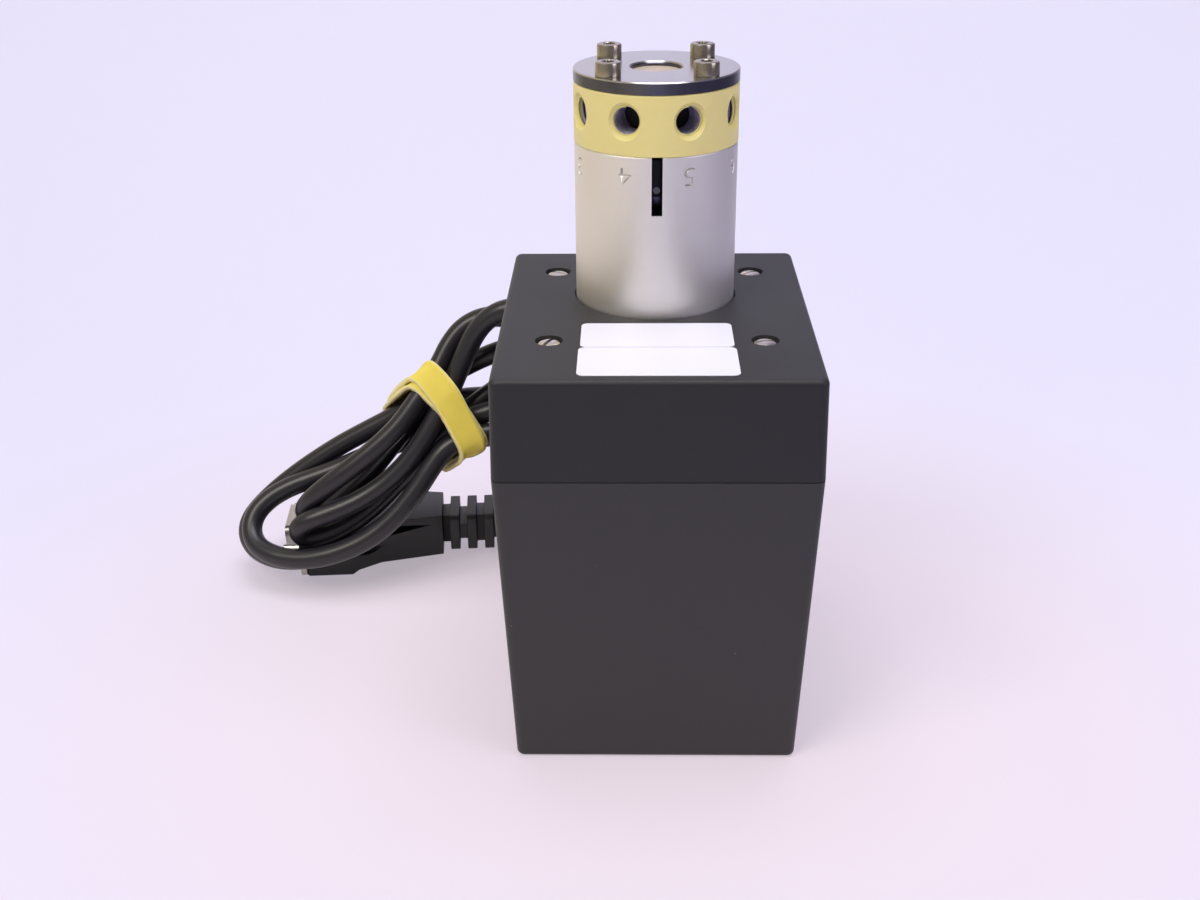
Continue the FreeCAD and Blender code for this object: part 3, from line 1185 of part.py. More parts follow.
def make_plug_shell():
    """The connector's metal flange and D-shaped shell."""
    flange = slab(FLANGE_WIDTH, FLANGE_HEIGHT, 1.5, 0, FLANGE)
    flange.rotate(V(0, 0, 0), X_AXIS, 90)
    flange.rotate(V(0, 0, 0), Z_AXIS, 90)
    flange.translate(V(-FLANGE, 0, 0) - V(flange.BoundBox.XMin, 0, 0))
    front = -FLANGE - SHELL_LENGTH
    shell = d_prism(0, front, -FLANGE).cut(d_prism(SHELL_WALL, front - 1, 0))
    shape = fuse([flange.cut(d_prism(SHELL_WALL, -FLANGE - 1, 1)), shell])
    for y in jack_places():
        shape = shape.cut(Part.makeCylinder(JACK_R + RUNNING_GAP, 4, V(-2, y, 0), X_AXIS))
    return placed_on_plug(shape)


def pin_places():
    upper = [(PIN_PITCH * (k - 2), PIN_ROW_GAP / 2) for k in range(5)]
    lower = [(PIN_PITCH * (k - 1.5), -PIN_ROW_GAP / 2) for k in range(4)]
    return upper + lower


def make_plug_insert():
    insert = d_prism(SHELL_WALL + SEAT_GAP, -INSERT_THICK, 0)
    for y, z in pin_places():
        insert = insert.cut(Part.makeCylinder(PIN_R + SEAT_GAP, INSERT_THICK + 2, V(-INSERT_THICK - 1, y, z), X_AXIS))
    return placed_on_plug(insert)


def make_plug_pins():
    pins = []
    for y, z in pin_places():
        start = -INSERT_THICK - PIN_LENGTH + 1
        pin = Part.makeCylinder(PIN_R, -start, V(start, y, z), X_AXIS)
        pins.append(pin.makeChamfer(0.2, edges_where(pin, lambda p, s=start: abs(p.x - s) < 1e-4)))
    return placed_on_plug(Part.makeCompound(pins))


def make_jack_screw(y):
    """A captive locking screw of the plug, with a slotted head inside the hood."""
    seat = HOOD_BLOCK / 2 + RUNNING_GAP
    shank = Part.makeCylinder(JACK_R, FLANGE + JACK_REACH + seat, V(-FLANGE - JACK_REACH, y, 0), X_AXIS)
    head = Part.makeCylinder(JACK_HEAD_R, JACK_HEAD, V(seat, y, 0), X_AXIS)
    slot = block(seat + JACK_HEAD - 1.0, seat + JACK_HEAD + 1, y - JACK_HEAD_R, y + JACK_HEAD_R, -0.4, 0.4)
    return placed_on_plug(fuse([shank, head]).cut(slot))


# ---------------------------------------------------------------- the parts
def make_parts():
    hank = make_cable_hank()
    opening_front_y = VALVE_Y - BODY_R - COVER_OPENING_GAP
    upper_label_y = opening_front_y - LABEL_UPPER_GAP - LABEL_UPPER[1]
    lower_label_y = LABEL_LOWER_INSET - SEAM_DEPTH / 2
    lower_label = (LABEL_LOWER_WIDTH, upper_label_y - LABEL_STEP - lower_label_y)
    near_jack, far_jack = jack_places()
    return {
        "housing_base": make_housing_base(),
        "housing_cover": make_housing_cover(),
        "case_screws": make_case_screws(),
        "label_upper": make_label(LABEL_UPPER, upper_label_y),
        "label_lower": make_label(lower_label, lower_label_y),
        "upper_plate": make_upper_plate(),
        "lower_plate": make_lower_plate(),
        "plate_spacers": make_plate_spacers(),
        "valve_body": make_valve_body(),
        "body_screws": make_body_screws(),
        "stator": make_stator(),
        "pressure_ring": make_pressure_ring(),
        "stator_screws": make_stator_screws(),
        "stator_dowels": make_stator_dowels(),
        "rotor_seal": make_rotor_seal(),
        "seal_pins": make_seal_pins(),
        "rotor_carrier": make_rotor_carrier(),
        "carrier_pin": make_carrier_pin(),
        "drive_shaft": make_drive_shaft(),
        "shaft_clip": make_shaft_clip(),
        "thrust_race_upper": make_thrust_race(RACE_FOOT, SHAFT_R + SEAT_GAP),
        "thrust_race_lower": make_thrust_race(SPRING_TOP, SHAFT_R + SHAFT_CLEARANCE),
        "thrust_rollers": make_thrust_rollers(),
        "thrust_cage": make_thrust_cage(),
        "disc_springs": make_disc_springs(),
        "upper_bush": make_upper_bush(),
        "lower_bush": make_lower_bush(),
        "bearing_outer_ring": make_bearing_outer_ring(),
        "bearing_inner_ring": make_bearing_inner_ring(),
        "bearing_balls": make_bearing_balls(),
        "bearing_cage": make_bearing_cage(),
        "output_gear": make_output_gear(),
        "gear_grub_screw": make_gear_grub_screw(),
        "motor_pinion": make_motor_pinion(),
        "motor_shaft": make_motor_shaft(),
        "motor_gearhead": make_motor_gearhead(),
        "motor_can": make_motor_can(),
        "motor_end_cap": make_motor_end_cap(),
        "motor_screws": make_motor_screws(),
        "position_disc": make_position_disc(),
        "position_sensor": make_position_sensor(),
        "circuit_board": make_circuit_board(),
        "board_screws": make_board_screws(),
        "board_chips": make_board_chips(),
        "board_capacitors": make_board_capacitors(),
        "board_header": make_board_header(),
        "cable_gland": make_cable_gland(),
        "gland_nut": make_gland_nut(),
        "cable_lead": cable_tube("cable_lead", LEAD_ROUTE),
        "cable_hank": hank,
        "cable_tail": cable_tube("cable_tail", TAIL_ROUTE),
        "hank_band": make_hank_band(hank),
        "plug_hood": make_plug_hood(),
        "plug_relief": make_plug_relief(),
        "plug_shell": make_plug_shell(),
        "plug_insert": make_plug_insert(),
        "plug_pins": make_plug_pins(),
        "jack_screw_near": make_jack_screw(near_jack),
        "jack_screw_far": make_jack_screw(far_jack),
    }


def main():
    os.makedirs("parts", exist_ok=True)
    for node, shape in make_parts().items():
        print(node, "solids", len(shape.Solids), "valid", shape.isValid(), "volume", round(shape.Volume, 2))
        shape.exportStep(f"parts/{node}.step")


main()
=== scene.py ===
import math

import bmesh
import bpy
from bpy.props import FloatProperty, FloatVectorProperty, PointerProperty
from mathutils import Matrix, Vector


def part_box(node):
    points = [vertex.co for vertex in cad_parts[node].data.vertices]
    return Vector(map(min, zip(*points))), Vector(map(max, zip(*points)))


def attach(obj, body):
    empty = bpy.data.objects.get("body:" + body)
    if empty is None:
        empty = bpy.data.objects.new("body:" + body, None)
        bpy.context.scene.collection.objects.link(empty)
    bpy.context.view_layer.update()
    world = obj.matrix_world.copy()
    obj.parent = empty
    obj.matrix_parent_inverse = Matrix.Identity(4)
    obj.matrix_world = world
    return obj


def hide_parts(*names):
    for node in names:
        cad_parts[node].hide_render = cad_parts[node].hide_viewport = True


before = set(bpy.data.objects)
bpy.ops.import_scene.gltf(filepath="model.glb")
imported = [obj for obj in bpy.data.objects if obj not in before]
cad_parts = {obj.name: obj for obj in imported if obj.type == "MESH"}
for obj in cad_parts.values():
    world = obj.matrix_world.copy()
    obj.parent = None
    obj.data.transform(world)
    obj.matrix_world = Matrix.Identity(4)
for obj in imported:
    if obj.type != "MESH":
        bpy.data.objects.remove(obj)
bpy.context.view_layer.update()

bl_info = {
    "name": "Injection valve dressing",
    "version": (1, 0, 0),
    "blender": (4, 5, 0),
    "location": "View3D > Sidebar > Valve",
    "description": "Cable, rubber band, screws, threads, figures and finishes of the injection valve",
    "category": "Object",
}

MM = 0.001

# the cable's line in mm: gland, first loop, the hank's other loops, and the run to the plug
CABLE_ROUTE = [
    (18, 50, 22), (18, 59, 22), (17.8, 70.5, 26), (17, 79.5, 34), (14.5, 84.5, 45), (7.5, 84.2, 55.5),
    (-3.5, 79.5, 62), (-15, 72.6, 64), (-34.5, 62.5, 52.8), (-39.2, 57.5, 51.3), (-44, 53.9, 48.9),
    (-49.2, 52.3, 45.5), (-54.7, 52.3, 42), (-60.8, 52.8, 38.8), (-67.2, 53.4, 35.9), (-73.7, 53.4, 33),
    (-80.2, 52.9, 30.2), (-86.4, 52, 27.6), (-92.7, 51.1, 25.5), (-98.9, 50, 23.5), (-104.2, 48.4, 20.8),
    (-107.8, 45.8, 17.5), (-108.6, 42.3, 14.1), (-106.4, 38.6, 11.5), (-101.6, 35.3, 10.4),
    (-95.2, 33.1, 10.3), (-88.6, 32, 11.4), (-81.8, 32, 13.5), (-74.8, 32.8, 16.7), (-68.1, 34.5, 21.8),
    (-62.1, 37.1, 28.6), (-57.5, 39.8, 35.4), (-53.5, 41.7, 40), (-46.5, 43.5, 41.9), (-36.9, 45.2, 42.9),
    (-25.7, 46, 44), (-14.6, 46.1, 46.2), (-5.7, 45.9, 50.3), (-0.9, 45.7, 56.2), (-1.4, 45.7, 63),
    (-7.1, 45.9, 69.3), (-16.6, 46.5, 73.8), (-27.5, 47.5, 76), (-37.2, 48.7, 75.6), (-42.7, 49.3, 72.5),
    (-46.4, 49.2, 67.8), (-49.1, 48.4, 62.1), (-51.9, 46.8, 55.7), (-55.2, 44.7, 49), (-59.3, 42.5, 42.2),
    (-64.2, 40.6, 35.6), (-70.1, 39.2, 30.1), (-76.5, 37.9, 26), (-82.9, 36.5, 23.4), (-88.3, 35.5, 21.8),
    (-92.2, 35.4, 20.1), (-94.2, 36.3, 17.6), (-93.8, 37.6, 15), (-91.2, 38.5, 13.8), (-87, 39.3, 14.5),
    (-81, 40.7, 17), (-74.6, 42.5, 21.5), (-68.6, 44.2, 27.4), (-62.4, 45.7, 34), (-56.4, 46.8, 40.4),
    (-49.7, 47.3, 44.6), (-42, 48, 47.3), (-33.1, 48.9, 49), (-24, 49.1, 51), (-16.6, 48.7, 54.1),
    (-12.9, 48.4, 58.7), (-14.3, 48.7, 63.7), (-20.5, 49.9, 68), (-29.6, 51.8, 70.7), (-38.7, 53.8, 71.5),
    (-44.5, 55, 70.8), (-49.8, 54.5, 68), (-53.3, 52.7, 63.8), (-55.7, 50.4, 59.2), (-58.3, 48.1, 55.1),
    (-61.6, 45.9, 50.9), (-65.5, 43.6, 45.7), (-70.6, 41.7, 40.9), (-76.7, 40.2, 36.1), (-83.2, 39.2, 31.4),
    (-88.2, 39.1, 27.4), (-91.4, 39.8, 24.1), (-93.1, 41, 21), (-92.9, 42.7, 18.4), (-90.6, 44.5, 17.5),
    (-86.6, 45.8, 19.5), (-80.9, 46.8, 24.3), (-75.3, 47.2, 29.9), (-70.6, 47.9, 35.8), (-66.3, 49.4, 40.9),
    (-61.8, 51.9, 44.6), (-56.7, 55, 46.5), (-50.2, 57.8, 46.8), (-41.9, 59.7, 46.3), (-32.4, 60.7, 46.2),
    (-22.3, 61, 46.8), (-13.2, 60.8, 47.2), (-6.5, 59.5, 45.8), (-3.4, 57.2, 42.6), (-4.8, 54.6, 39),
    (-10.8, 52.8, 37.1), (-20.7, 52.3, 37.2), (-32.6, 52.1, 38), (-44.5, 51.7, 38.1), (-54.2, 50.6, 36.3),
    (-58.8, 48.6, 31.4), (-63.4, 45.4, 24.7), (-69.4, 41.9, 18.2), (-76, 39.4, 13.5), (-83.1, 38, 10.5),
    (-89.7, 37.3, 8.7), (-95.4, 37.8, 7.6), (-100.3, 39.9, 6.5), (-104.7, 42.8, 5.9), (-109, 45.7, 6.8),
    (-111.3, 48.6, 9.6), (-110.7, 51.1, 13.3), (-106.6, 53.5, 17.7), (-100.6, 55.3, 22.6),
    (-93.6, 56.3, 27.6), (-85.3, 57, 32.9), (-76.9, 57.3, 37.5), (-69.4, 57.3, 41.5), (-63.6, 57.6, 46.5),
    (-57.8, 57.3, 51.4), (-51.1, 56.6, 55.7), (-43.7, 56, 59.7), (-35.9, 55.6, 62.6), (-28.1, 55.4, 64.5),
    (-20.3, 54.9, 65.2), (-12.2, 54.2, 64.7), (-3, 54.5, 63), (9, 57.5, 60), (21, 63.5, 53.5),
    (29, 71.5, 43.5), (30.5, 79, 31), (25.5, 83.5, 19), (14.5, 75.8, 11), (3, 67.3, 7.7),
    (-9.665, 63.85, 7.3), (-22.625, 62.83, 7.3),
]

# the hank's own directions: along it, across it towards the floor, and out to the front
HANK_AT = Vector((-52, 50, 48)) * MM
HANK_ALONG = Vector((0.8366, 0, 0.5478)).normalized()
HANK_ACROSS = Vector((0.5258, -0.2806, -0.8030)).normalized()
HANK_OUT = Vector((-0.1537, -0.9598, 0.2348)).normalized()

# the valve head's axis and sizes, from its nodes
BODY_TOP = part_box("valve_body")[1][2]
RING_LOW, RING_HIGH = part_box("pressure_ring")
HEAD_AXIS = Vector(((RING_LOW[0] + RING_HIGH[0]) / 2, (RING_LOW[1] + RING_HIGH[1]) / 2, 0))
BODY_R = 18 * MM
STATOR_R = 18.08 * MM
PORT_COUNT = 7
PORT_FIRST = math.radians(112.5)
PORT_STEP = math.radians(45)
PORT_Z = 135.56 * MM
# outward from the axis: the ports' walls carry painted shade up to the first, and none past the second
SHADE_FULL_R = STATOR_R - 1.8 * MM
SHADE_END_R = STATOR_R - 1.3 * MM


def linear(hexa):
    """An sRGB hex colour as linear red, green, blue and alpha."""
    parts = [int(hexa[i:i + 2], 16) / 255 for i in (1, 3, 5)]
    return (*(c / 12.92 if c <= 0.04045 else ((c + 0.055) / 1.055) ** 2.4 for c in parts), 1.0)


def shade(colour, share):
    """The same colour, lighter or darker by a share."""
    return (*(min(1.0, c * share) for c in colour[:3]), 1.0)


def add(tree, kind, inputs=None, **settings):
    """One node of that kind: its settings, and for each input a value or the socket it comes from."""
    node = tree.nodes.new(kind)
    for name, value in settings.items():
        setattr(node, name, value)
    for key, value in (inputs or {}).items():
        if isinstance(value, bpy.types.NodeSocket):
            tree.links.new(value, node.inputs[key])
        else:
            node.inputs[key].default_value = value
    return node


def colour_of(word):
    """A colour by its hex value, or by its key among the panel's colours."""
    if word.startswith("#"):
        return linear(word)
    return (*getattr(bpy.context.scene.valve_colours, word), 1.0)


def size_of(key):
    return getattr(bpy.context.scene.valve_sizes, key)


class Finish:
    """A material being made: its tree, its shader and the place on the piece."""

    def __init__(self, name):
        self.material = bpy.data.materials.new(name)
        self.material.use_nodes = True
        self.tree = self.material.node_tree
        self.tree.nodes.clear()
        self.shader = add(self.tree, "ShaderNodeBsdfPrincipled")
        self.output = add(self.tree, "ShaderNodeOutputMaterial", {0: self.shader.outputs[0]})
        self.place = add(self.tree, "ShaderNodeTexCoord").outputs["Object"]

    def add(self, kind, inputs=None, **settings):
        return add(self.tree, kind, inputs, **settings)

    def feed(self, **sockets):
        """Sets or links the shader's sockets; an underscore stands for a blank."""
        for key, value in sockets.items():
            socket = self.shader.inputs[key.replace("_", " ")]
            if isinstance(value, bpy.types.NodeSocket):
                self.tree.links.new(value, socket)
            else:
                socket.default_value = value
        return self.material

    def clouds(self, lump_mm, first, second, detail=4.0):
        """Soft patches of two colours, lump_mm across: (colour, pattern)."""
        lumps = self.add("ShaderNodeTexNoise", {
            "Vector": self.place, "Scale": 1 / (lump_mm * MM), "Detail": detail, "Roughness": 0.6})
        both = self.add("ShaderNodeMix", {0: lumps.outputs[0], 6: first, 7: second}, data_type="RGBA")
        return both.outputs[2], lumps.outputs[0]

    def specks(self, colour, cell_mm, size_mm, few, speck):
        """Small dust specks on a colour: one in some of the cells, each cell_mm across."""
        cells = self.add("ShaderNodeTexVoronoi", {"Vector": self.place, "Scale": 1 / (cell_mm * MM)})
        near = self.add("ShaderNodeMath", {0: cells.outputs["Distance"], 1: size_mm / cell_mm},
                        operation="LESS_THAN")
        chance = self.add("ShaderNodeSeparateColor", {0: cells.outputs["Color"]})
        some = self.add("ShaderNodeMath", {0: chance.outputs[0], 1: 1 - few}, operation="GREATER_THAN")
        both = self.add("ShaderNodeMath", {0: near.outputs[0], 1: some.outputs[0]}, operation="MULTIPLY")
        return self.add("ShaderNodeMix", {0: both.outputs[0], 6: colour, 7: speck},
                        data_type="RGBA").outputs[2]

    def grain(self, lump_mm, depth_mm, place=None):
        """The raised and sunk grain of a surface: (normal, pattern)."""
        lumps = self.add("ShaderNodeTexNoise", {
            "Vector": place or self.place, "Scale": 1 / (lump_mm * MM), "Detail": 4.0, "Roughness": 0.65})
        raised = self.add("ShaderNodeBump", {"Height": lumps.outputs[0], "Distance": depth_mm * MM})
        return raised.outputs[0], lumps.outputs[0]

    def turned(self, centre):
        """Where a tool mark falls on a turned part: its height, and its distance from the axis."""
        moved = self.add("ShaderNodeMapping", {0: self.place, 1: (-centre[0], -centre[1], 0)})
        parts = self.add("ShaderNodeSeparateXYZ", {0: moved.outputs[0]})
        flat = self.add("ShaderNodeCombineXYZ", {0: parts.outputs[0], 1: parts.outputs[1]})
        far = self.add("ShaderNodeVectorMath", {0: flat.outputs[0]}, operation="LENGTH")
        return self.add("ShaderNodeCombineXYZ", {0: far.outputs["Value"], 2: parts.outputs[2]}).outputs[0]

    def parted(self, place, axis, start, end, before, after):
        """One colour before start along an axis of a place and another past end: (colour, share)."""
        parts = self.add("ShaderNodeSeparateXYZ", {0: place})
        share = self.add("ShaderNodeMapRange", {0: parts.outputs[axis], 1: start, 2: end}).outputs[0]
        both = self.add("ShaderNodeMix", {0: share, 6: before, 7: after}, data_type="RGBA")
        return both.outputs[2], share

    def close(self, colour, pattern, low, high, **sockets):
        """Ends the finish: its colour, a roughness from low to high along a pattern, and the rest."""
        gloss = self.add("ShaderNodeMapRange", {0: pattern, 3: low, 4: high})
        return self.feed(Base_Color=colour, Roughness=gloss.outputs[0], **sockets)


# ------------------------------------------------------------------ finishes
def moulded_plastic(name, colour, low, high, grain_mm=0.5, depth_mm=0.02, dust=0.0):
    # injection-moulded thermoplastic: even colour, a fine eroded grain that spreads the gloss
    f = Finish(name)
    base, lumps = f.clouds(16, shade(colour, 0.88), shade(colour, 1.12))
    if dust:
        base = f.specks(base, 9, 0.16, 0.35 * dust, linear("#A9A39F"))
        base = f.specks(base, 5, 0.1, 0.5 * dust, linear("#77706C"))
    return f.close(base, lumps, low, high, Normal=f.grain(grain_mm, depth_mm)[0])


def turned_metal(name, colour, low, high, mark_mm=0.25, depth_mm=0.003):
    # metal turned on a lathe: fine rings round the axis, so highlights run along it in streaks
    f = Finish(name)
    base, _ = f.clouds(10, shade(colour, 0.9), colour)
    normal, marks = f.grain(mark_mm, depth_mm, f.turned((0, 0)))
    return f.close(base, marks, low, high, Metallic=1.0, Normal=normal)


def rolled_metal(name, colour, low, high):
    # stamped, plated or drawn metal: a clouded gloss with shallow handling marks
    f = Finish(name)
    base, lumps = f.clouds(6, shade(colour, 0.88), colour)
    return f.close(base, lumps, low, high, Metallic=1.0, Normal=f.grain(0.4, 0.006)[0])


def housing_moulding(name, colour, low, high):
    # sand-textured ABS, moulded in one colour: matt, greyish where the lamp grazes it, dusty and rubbed
    f = Finish(name)
    base, lumps = f.clouds(26, shade(colour, 0.92), shade(colour, 1.08))
    # rub marks, about 4.5 mm wide and drawn out upward
    rubs = f.add("ShaderNodeMapping", {0: f.place, 3: (1.0, 1.0, 0.12)})
    marks = f.add("ShaderNodeTexNoise", {
        "Vector": rubs.outputs[0], "Scale": 220, "Detail": 6, "Roughness": 0.7})
    worn = f.add("ShaderNodeMapRange", {0: marks.outputs[0], 1: 0.66, 2: 0.8})
    rubbed = f.add("ShaderNodeMix", {0: worn.outputs[0], 6: base, 7: shade(colour, 1.5)}, data_type="RGBA")
    base = f.specks(rubbed.outputs[2], 11, 0.17, 0.30, linear("#B5AFAA"))
    base = f.specks(base, 6, 0.11, 0.25, linear("#7D7672"))
    # the texture's grit is 0.1 mm across, drawn 0.3 mm so that it shows
    normal, _ = f.grain(0.3, 0.03)
    return f.close(base, lumps, low, high, Normal=normal, Sheen_Weight=0.1, Sheen_Roughness=0.45)


def anodised_aluminium():
    # turned aluminium, clear-anodised: a soft satin grey with faint turning rings and a fine sparkle
    f = Finish("clear_anodised_aluminium")
    pale = colour_of("aluminium")
    base, _ = f.clouds(12, shade(pale, 0.95), pale)
    rings, marks = f.grain(0.35, 0.004, f.turned(HEAD_AXIS))
    etch = f.add("ShaderNodeTexNoise", {"Vector": f.place, "Scale": 1 / (0.25 * MM), "Detail": 4})
    etched = f.add("ShaderNodeBump", {"Height": etch.outputs[0], "Distance": 0.004 * MM, "Normal": rings})
    # painted shade: the bore and the slot are painted near-black, and the floors of the engraved figures a
    # little darker, so the inside reads as a dark hollow
    base, _ = f.parted(f.turned(HEAD_AXIS), 0, BODY_R - 0.6 * MM, BODY_R - 0.15 * MM, linear("#17161B"), base)
    return f.close(base, marks, 0.44, 0.58, Metallic=1.0, Normal=etched.outputs[0])


def turned_peek():
    # natural PEEK, turned: opaque straw colour with a waxy gloss and fine tool rings
    f = Finish("turned_natural_peek")
    straw = colour_of("stator")
    base, _ = f.clouds(9, shade(straw, 0.93), straw)
    normal, marks = f.grain(0.3, 0.004, f.turned(HEAD_AXIS))
    # its end in the ring's hole has a coarse speckle, and its greyer, darker tone is painted shade in the
    # hole
    shaded_speckle, _ = f.clouds(0.7, linear("#8F8172"), linear("#D6C8B4"))
    base, end = f.parted(f.place, 2, RING_LOW[2] + 0.4 * MM, RING_LOW[2] + 0.6 * MM, base, shaded_speckle)
    # the tapped holes are painted dark, as painted shade deep inside them
    far = f.add("ShaderNodeSeparateXYZ", {0: f.turned(HEAD_AXIS)})
    outer = f.add("ShaderNodeMapRange", {0: far.outputs[0], 1: SHADE_FULL_R, 2: SHADE_END_R})
    unshaded = f.add("ShaderNodeMath", {0: outer.outputs[0], 1: end}, operation="MAXIMUM")
    base = f.add("ShaderNodeMix", {0: unshaded.outputs[0], 6: linear("#35323B"), 7: base}, data_type="RGBA")
    return f.close(base.outputs[2], marks, 0.38, 0.5, Normal=normal,
                   Subsurface_Weight=0.06, Subsurface_Scale=0.0015)


def shaded_threads():
    # cut threads: plain polymer at the mouth, then painted shade deeper in, with a blue-grey painted
    # reflection on the crests
    f = Finish("oiled_thread_crests")
    shaded_crests, lumps = f.clouds(1.2, linear("#77738F"), linear("#B3AFD0"))
    unshaded = shade(colour_of("stator"), 0.9)
    base, _ = f.parted(f.turned(HEAD_AXIS), 0, SHADE_FULL_R, SHADE_END_R, shaded_crests, unshaded)
    return f.close(base, lumps, 0.2, 0.32)


def polished_ring():
    # stainless ring: its face ground and polished, its edge streaked and painted darker as shade
    f = Finish("polished_stainless_ring")
    steel = colour_of("steel")
    base, _ = f.clouds(10, shade(steel, 0.92), steel)
    normal, marks = f.grain(0.2, 0.0015, f.turned(HEAD_AXIS))
    # painted shade on the ring's edge
    edge_shade, _ = f.clouds(5, linear("#42424C"), linear("#6C6C78"))
    base, _ = f.parted(f.place, 2, RING_HIGH[2] - 0.35 * MM, RING_HIGH[2] - 0.2 * MM, edge_shade, base)
    return f.close(base, marks, 0.14, 0.26, Metallic=1.0, Normal=normal)


def polyester_label():
    # white polyester sticker: flat, bright and glossy
    f = Finish("white_polyester_label")
    white = colour_of("label")
    base, lumps = f.clouds(8, shade(white, 0.975), white)
    return f.close(base, lumps, 0.3, 0.4, Normal=f.grain(6, 0.01)[0])


def band_latex():
    # natural rubber, extruded and cut: muted yellow, with a pale painted highlight along its rolled edges
    f = Finish("natural_rubber_band")
    yellow = colour_of("rubber")
    base, lumps = f.clouds(5, shade(yellow, 0.84), yellow)
    rim = f.add("ShaderNodeAttribute", attribute_name="rim", attribute_type="GEOMETRY")
    # painted highlight: pale along the rolled edges
    pale = f.add("ShaderNodeMapRange", {0: rim.outputs["Fac"], 1: 0.55, 2: 1.0, 4: 0.75})
    base = f.add("ShaderNodeMix", {0: pale.outputs[0], 6: base, 7: linear("#F2EAB0")}, data_type="RGBA")
    return f.close(base.outputs[2], lumps, 0.5, 0.68, Normal=f.grain(0.7, 0.05)[0],
                   Subsurface_Weight=0.15, Subsurface_Scale=0.001)


def cable_jacket():
    # plasticised PVC, extruded: deep black with a long satin highlight and a little dust
    f = Finish("extruded_pvc_jacket")
    black = colour_of("cable")
    base, lumps = f.clouds(14, shade(black, 0.85), shade(black, 1.15))
    base = f.specks(base, 4.5, 0.12, 0.2, linear("#8A8581"))
    return f.close(base, lumps, 0.27, 0.38, Normal=f.grain(1.1, 0.02)[0])


def solder_mask():
    # glass-epoxy laminate under green solder mask: the weave shows faintly through the gloss
    f = Finish("green_solder_mask")
    weave = f.add("ShaderNodeTexBrick", {
        "Vector": f.place, "Scale": 1 / (1.6 * MM), "Color1": linear("#1F6A3A"),
        "Color2": linear("#1B5E35"), "Mortar": linear("#2A7B48")})
    return f.feed(Base_Color=weave.outputs[0], Roughness=0.3, Normal=f.grain(0.9, 0.01)[0])


def studio_paper():
    # seamless backdrop paper: matt and pale, with no texture of its own, and it keeps the shadow
    f = Finish("matt_studio_paper")
    base, _ = f.clouds(600, colour_of("floor"), colour_of("backdrop"), detail=1.0)
    # the lamps' pool is warmer round the part, and the light falls off towards the far corners
    away = f.add("ShaderNodeVectorMath", {0: f.place}, operation="LENGTH").outputs["Value"]
    for start, end, before, after in ((0.05, 0.24, linear("#EADFEA"), None),
                                      (0.75, 1.3, None, shade(colour_of("backdrop"), 0.72))):
        share = f.add("ShaderNodeMapRange", {0: away, 1: start, 2: end}, interpolation_type="SMOOTHSTEP")
        both = f.add("ShaderNodeMix", {0: share.outputs[0], 6: before or base, 7: after or base},
                     data_type="RGBA")
        base = both.outputs[2]
    # metal sees the sheet warm on the left and shaded on the right, as the room is
    room, _ = f.parted(f.place, 0, -0.5, 0.0, linear("#E6DABC"), base)
    room, _ = f.parted(f.place, 0, 0.02, 0.45, room, linear("#858195"))
    ray = f.add("ShaderNodeLightPath")
    base = f.add("ShaderNodeMix", {0: ray.outputs["Is Glossy Ray"], 6: base, 7: room},
                 data_type="RGBA").outputs[2]
    clear = ray.outputs["Is Camera Ray"]
    for kind in ("Is Glossy Ray", "Is Transmission Ray"):
        clear = f.add("ShaderNodeMath", {0: clear, 1: ray.outputs[kind]}, operation="MAXIMUM").outputs[0]
    share = f.add("ShaderNodeMath", {0: clear, 1: 0.5}, operation="MULTIPLY")
    glow = f.add("ShaderNodeEmission", {0: base, 1: 1.0})
    both = f.add("ShaderNodeMixShader", {0: share.outputs[0], 1: f.shader.outputs[0], 2: glow.outputs[0]})
    f.tree.links.new(both.outputs[0], f.output.inputs[0])
    return f.feed(Base_Color=base, Roughness=0.9, Specular_IOR_Level=0.1)


# ------------------------------------------------------------------ making pieces
def new_piece(name, mesh, material, stands_for=(), body="housing"):
    """A piece at the origin with its place in its mesh; it rides on a body and may stand for nodes."""
    piece = bpy.data.objects.new(name, mesh)
    bpy.context.scene.collection.objects.link(piece)
    mesh.materials.clear()
    mesh.materials.append(material)
    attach(piece, body)
    if stands_for:
        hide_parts(*stands_for)
    return piece


def give_finish(material, *nodes):
    """Puts a material on nodes that show as they are."""
    for node in nodes:
        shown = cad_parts[node]
        if not shown.material_slots:
            raise RuntimeError("no material slot on " + node)
        for held in shown.material_slots:
            held.material = material


def give_finishes(plan):
    """Goes through (way of making, material's name, colour, low and high roughness, nodes)."""
    for way, name, colour, low, high, nodes in plan:
        give_finish(way(name, colour_of(colour), low, high), *nodes.split())


def plain_mesh(builder, name):
    """The builder's shape with its modifiers applied; the builder itself goes."""
    bpy.context.view_layer.update()
    graph = bpy.context.evaluated_depsgraph_get()
    mesh = bpy.data.meshes.new_from_object(builder.evaluated_get(graph))
    mesh.name = name
    bpy.data.objects.remove(builder)
    return mesh


def builder_of(mesh):
    builder = bpy.data.objects.new("builder", mesh)
    bpy.context.scene.collection.objects.link(builder)
    return builder


def smoothed(mesh, angle_deg):
    mesh.shade_smooth()
    mesh.set_sharp_from_angle(angle=math.radians(angle_deg))
    return mesh


def faces_out(mesh, merge=True):
    """Turns a mesh's faces outward, its doubles merged first."""
    shape = bmesh.new()
    shape.from_mesh(mesh)
    if merge:
        bmesh.ops.remove_doubles(shape, verts=shape.verts, dist=1e-6)
    bmesh.ops.recalc_face_normals(shape, faces=shape.faces)
    shape.to_mesh(mesh)
    shape.free()
    return mesh


def made_mesh(name, points, faces):
    mesh = bpy.data.meshes.new(name)
    mesh.from_pydata([tuple(p) for p in points], [], faces)
    return faces_out(mesh)


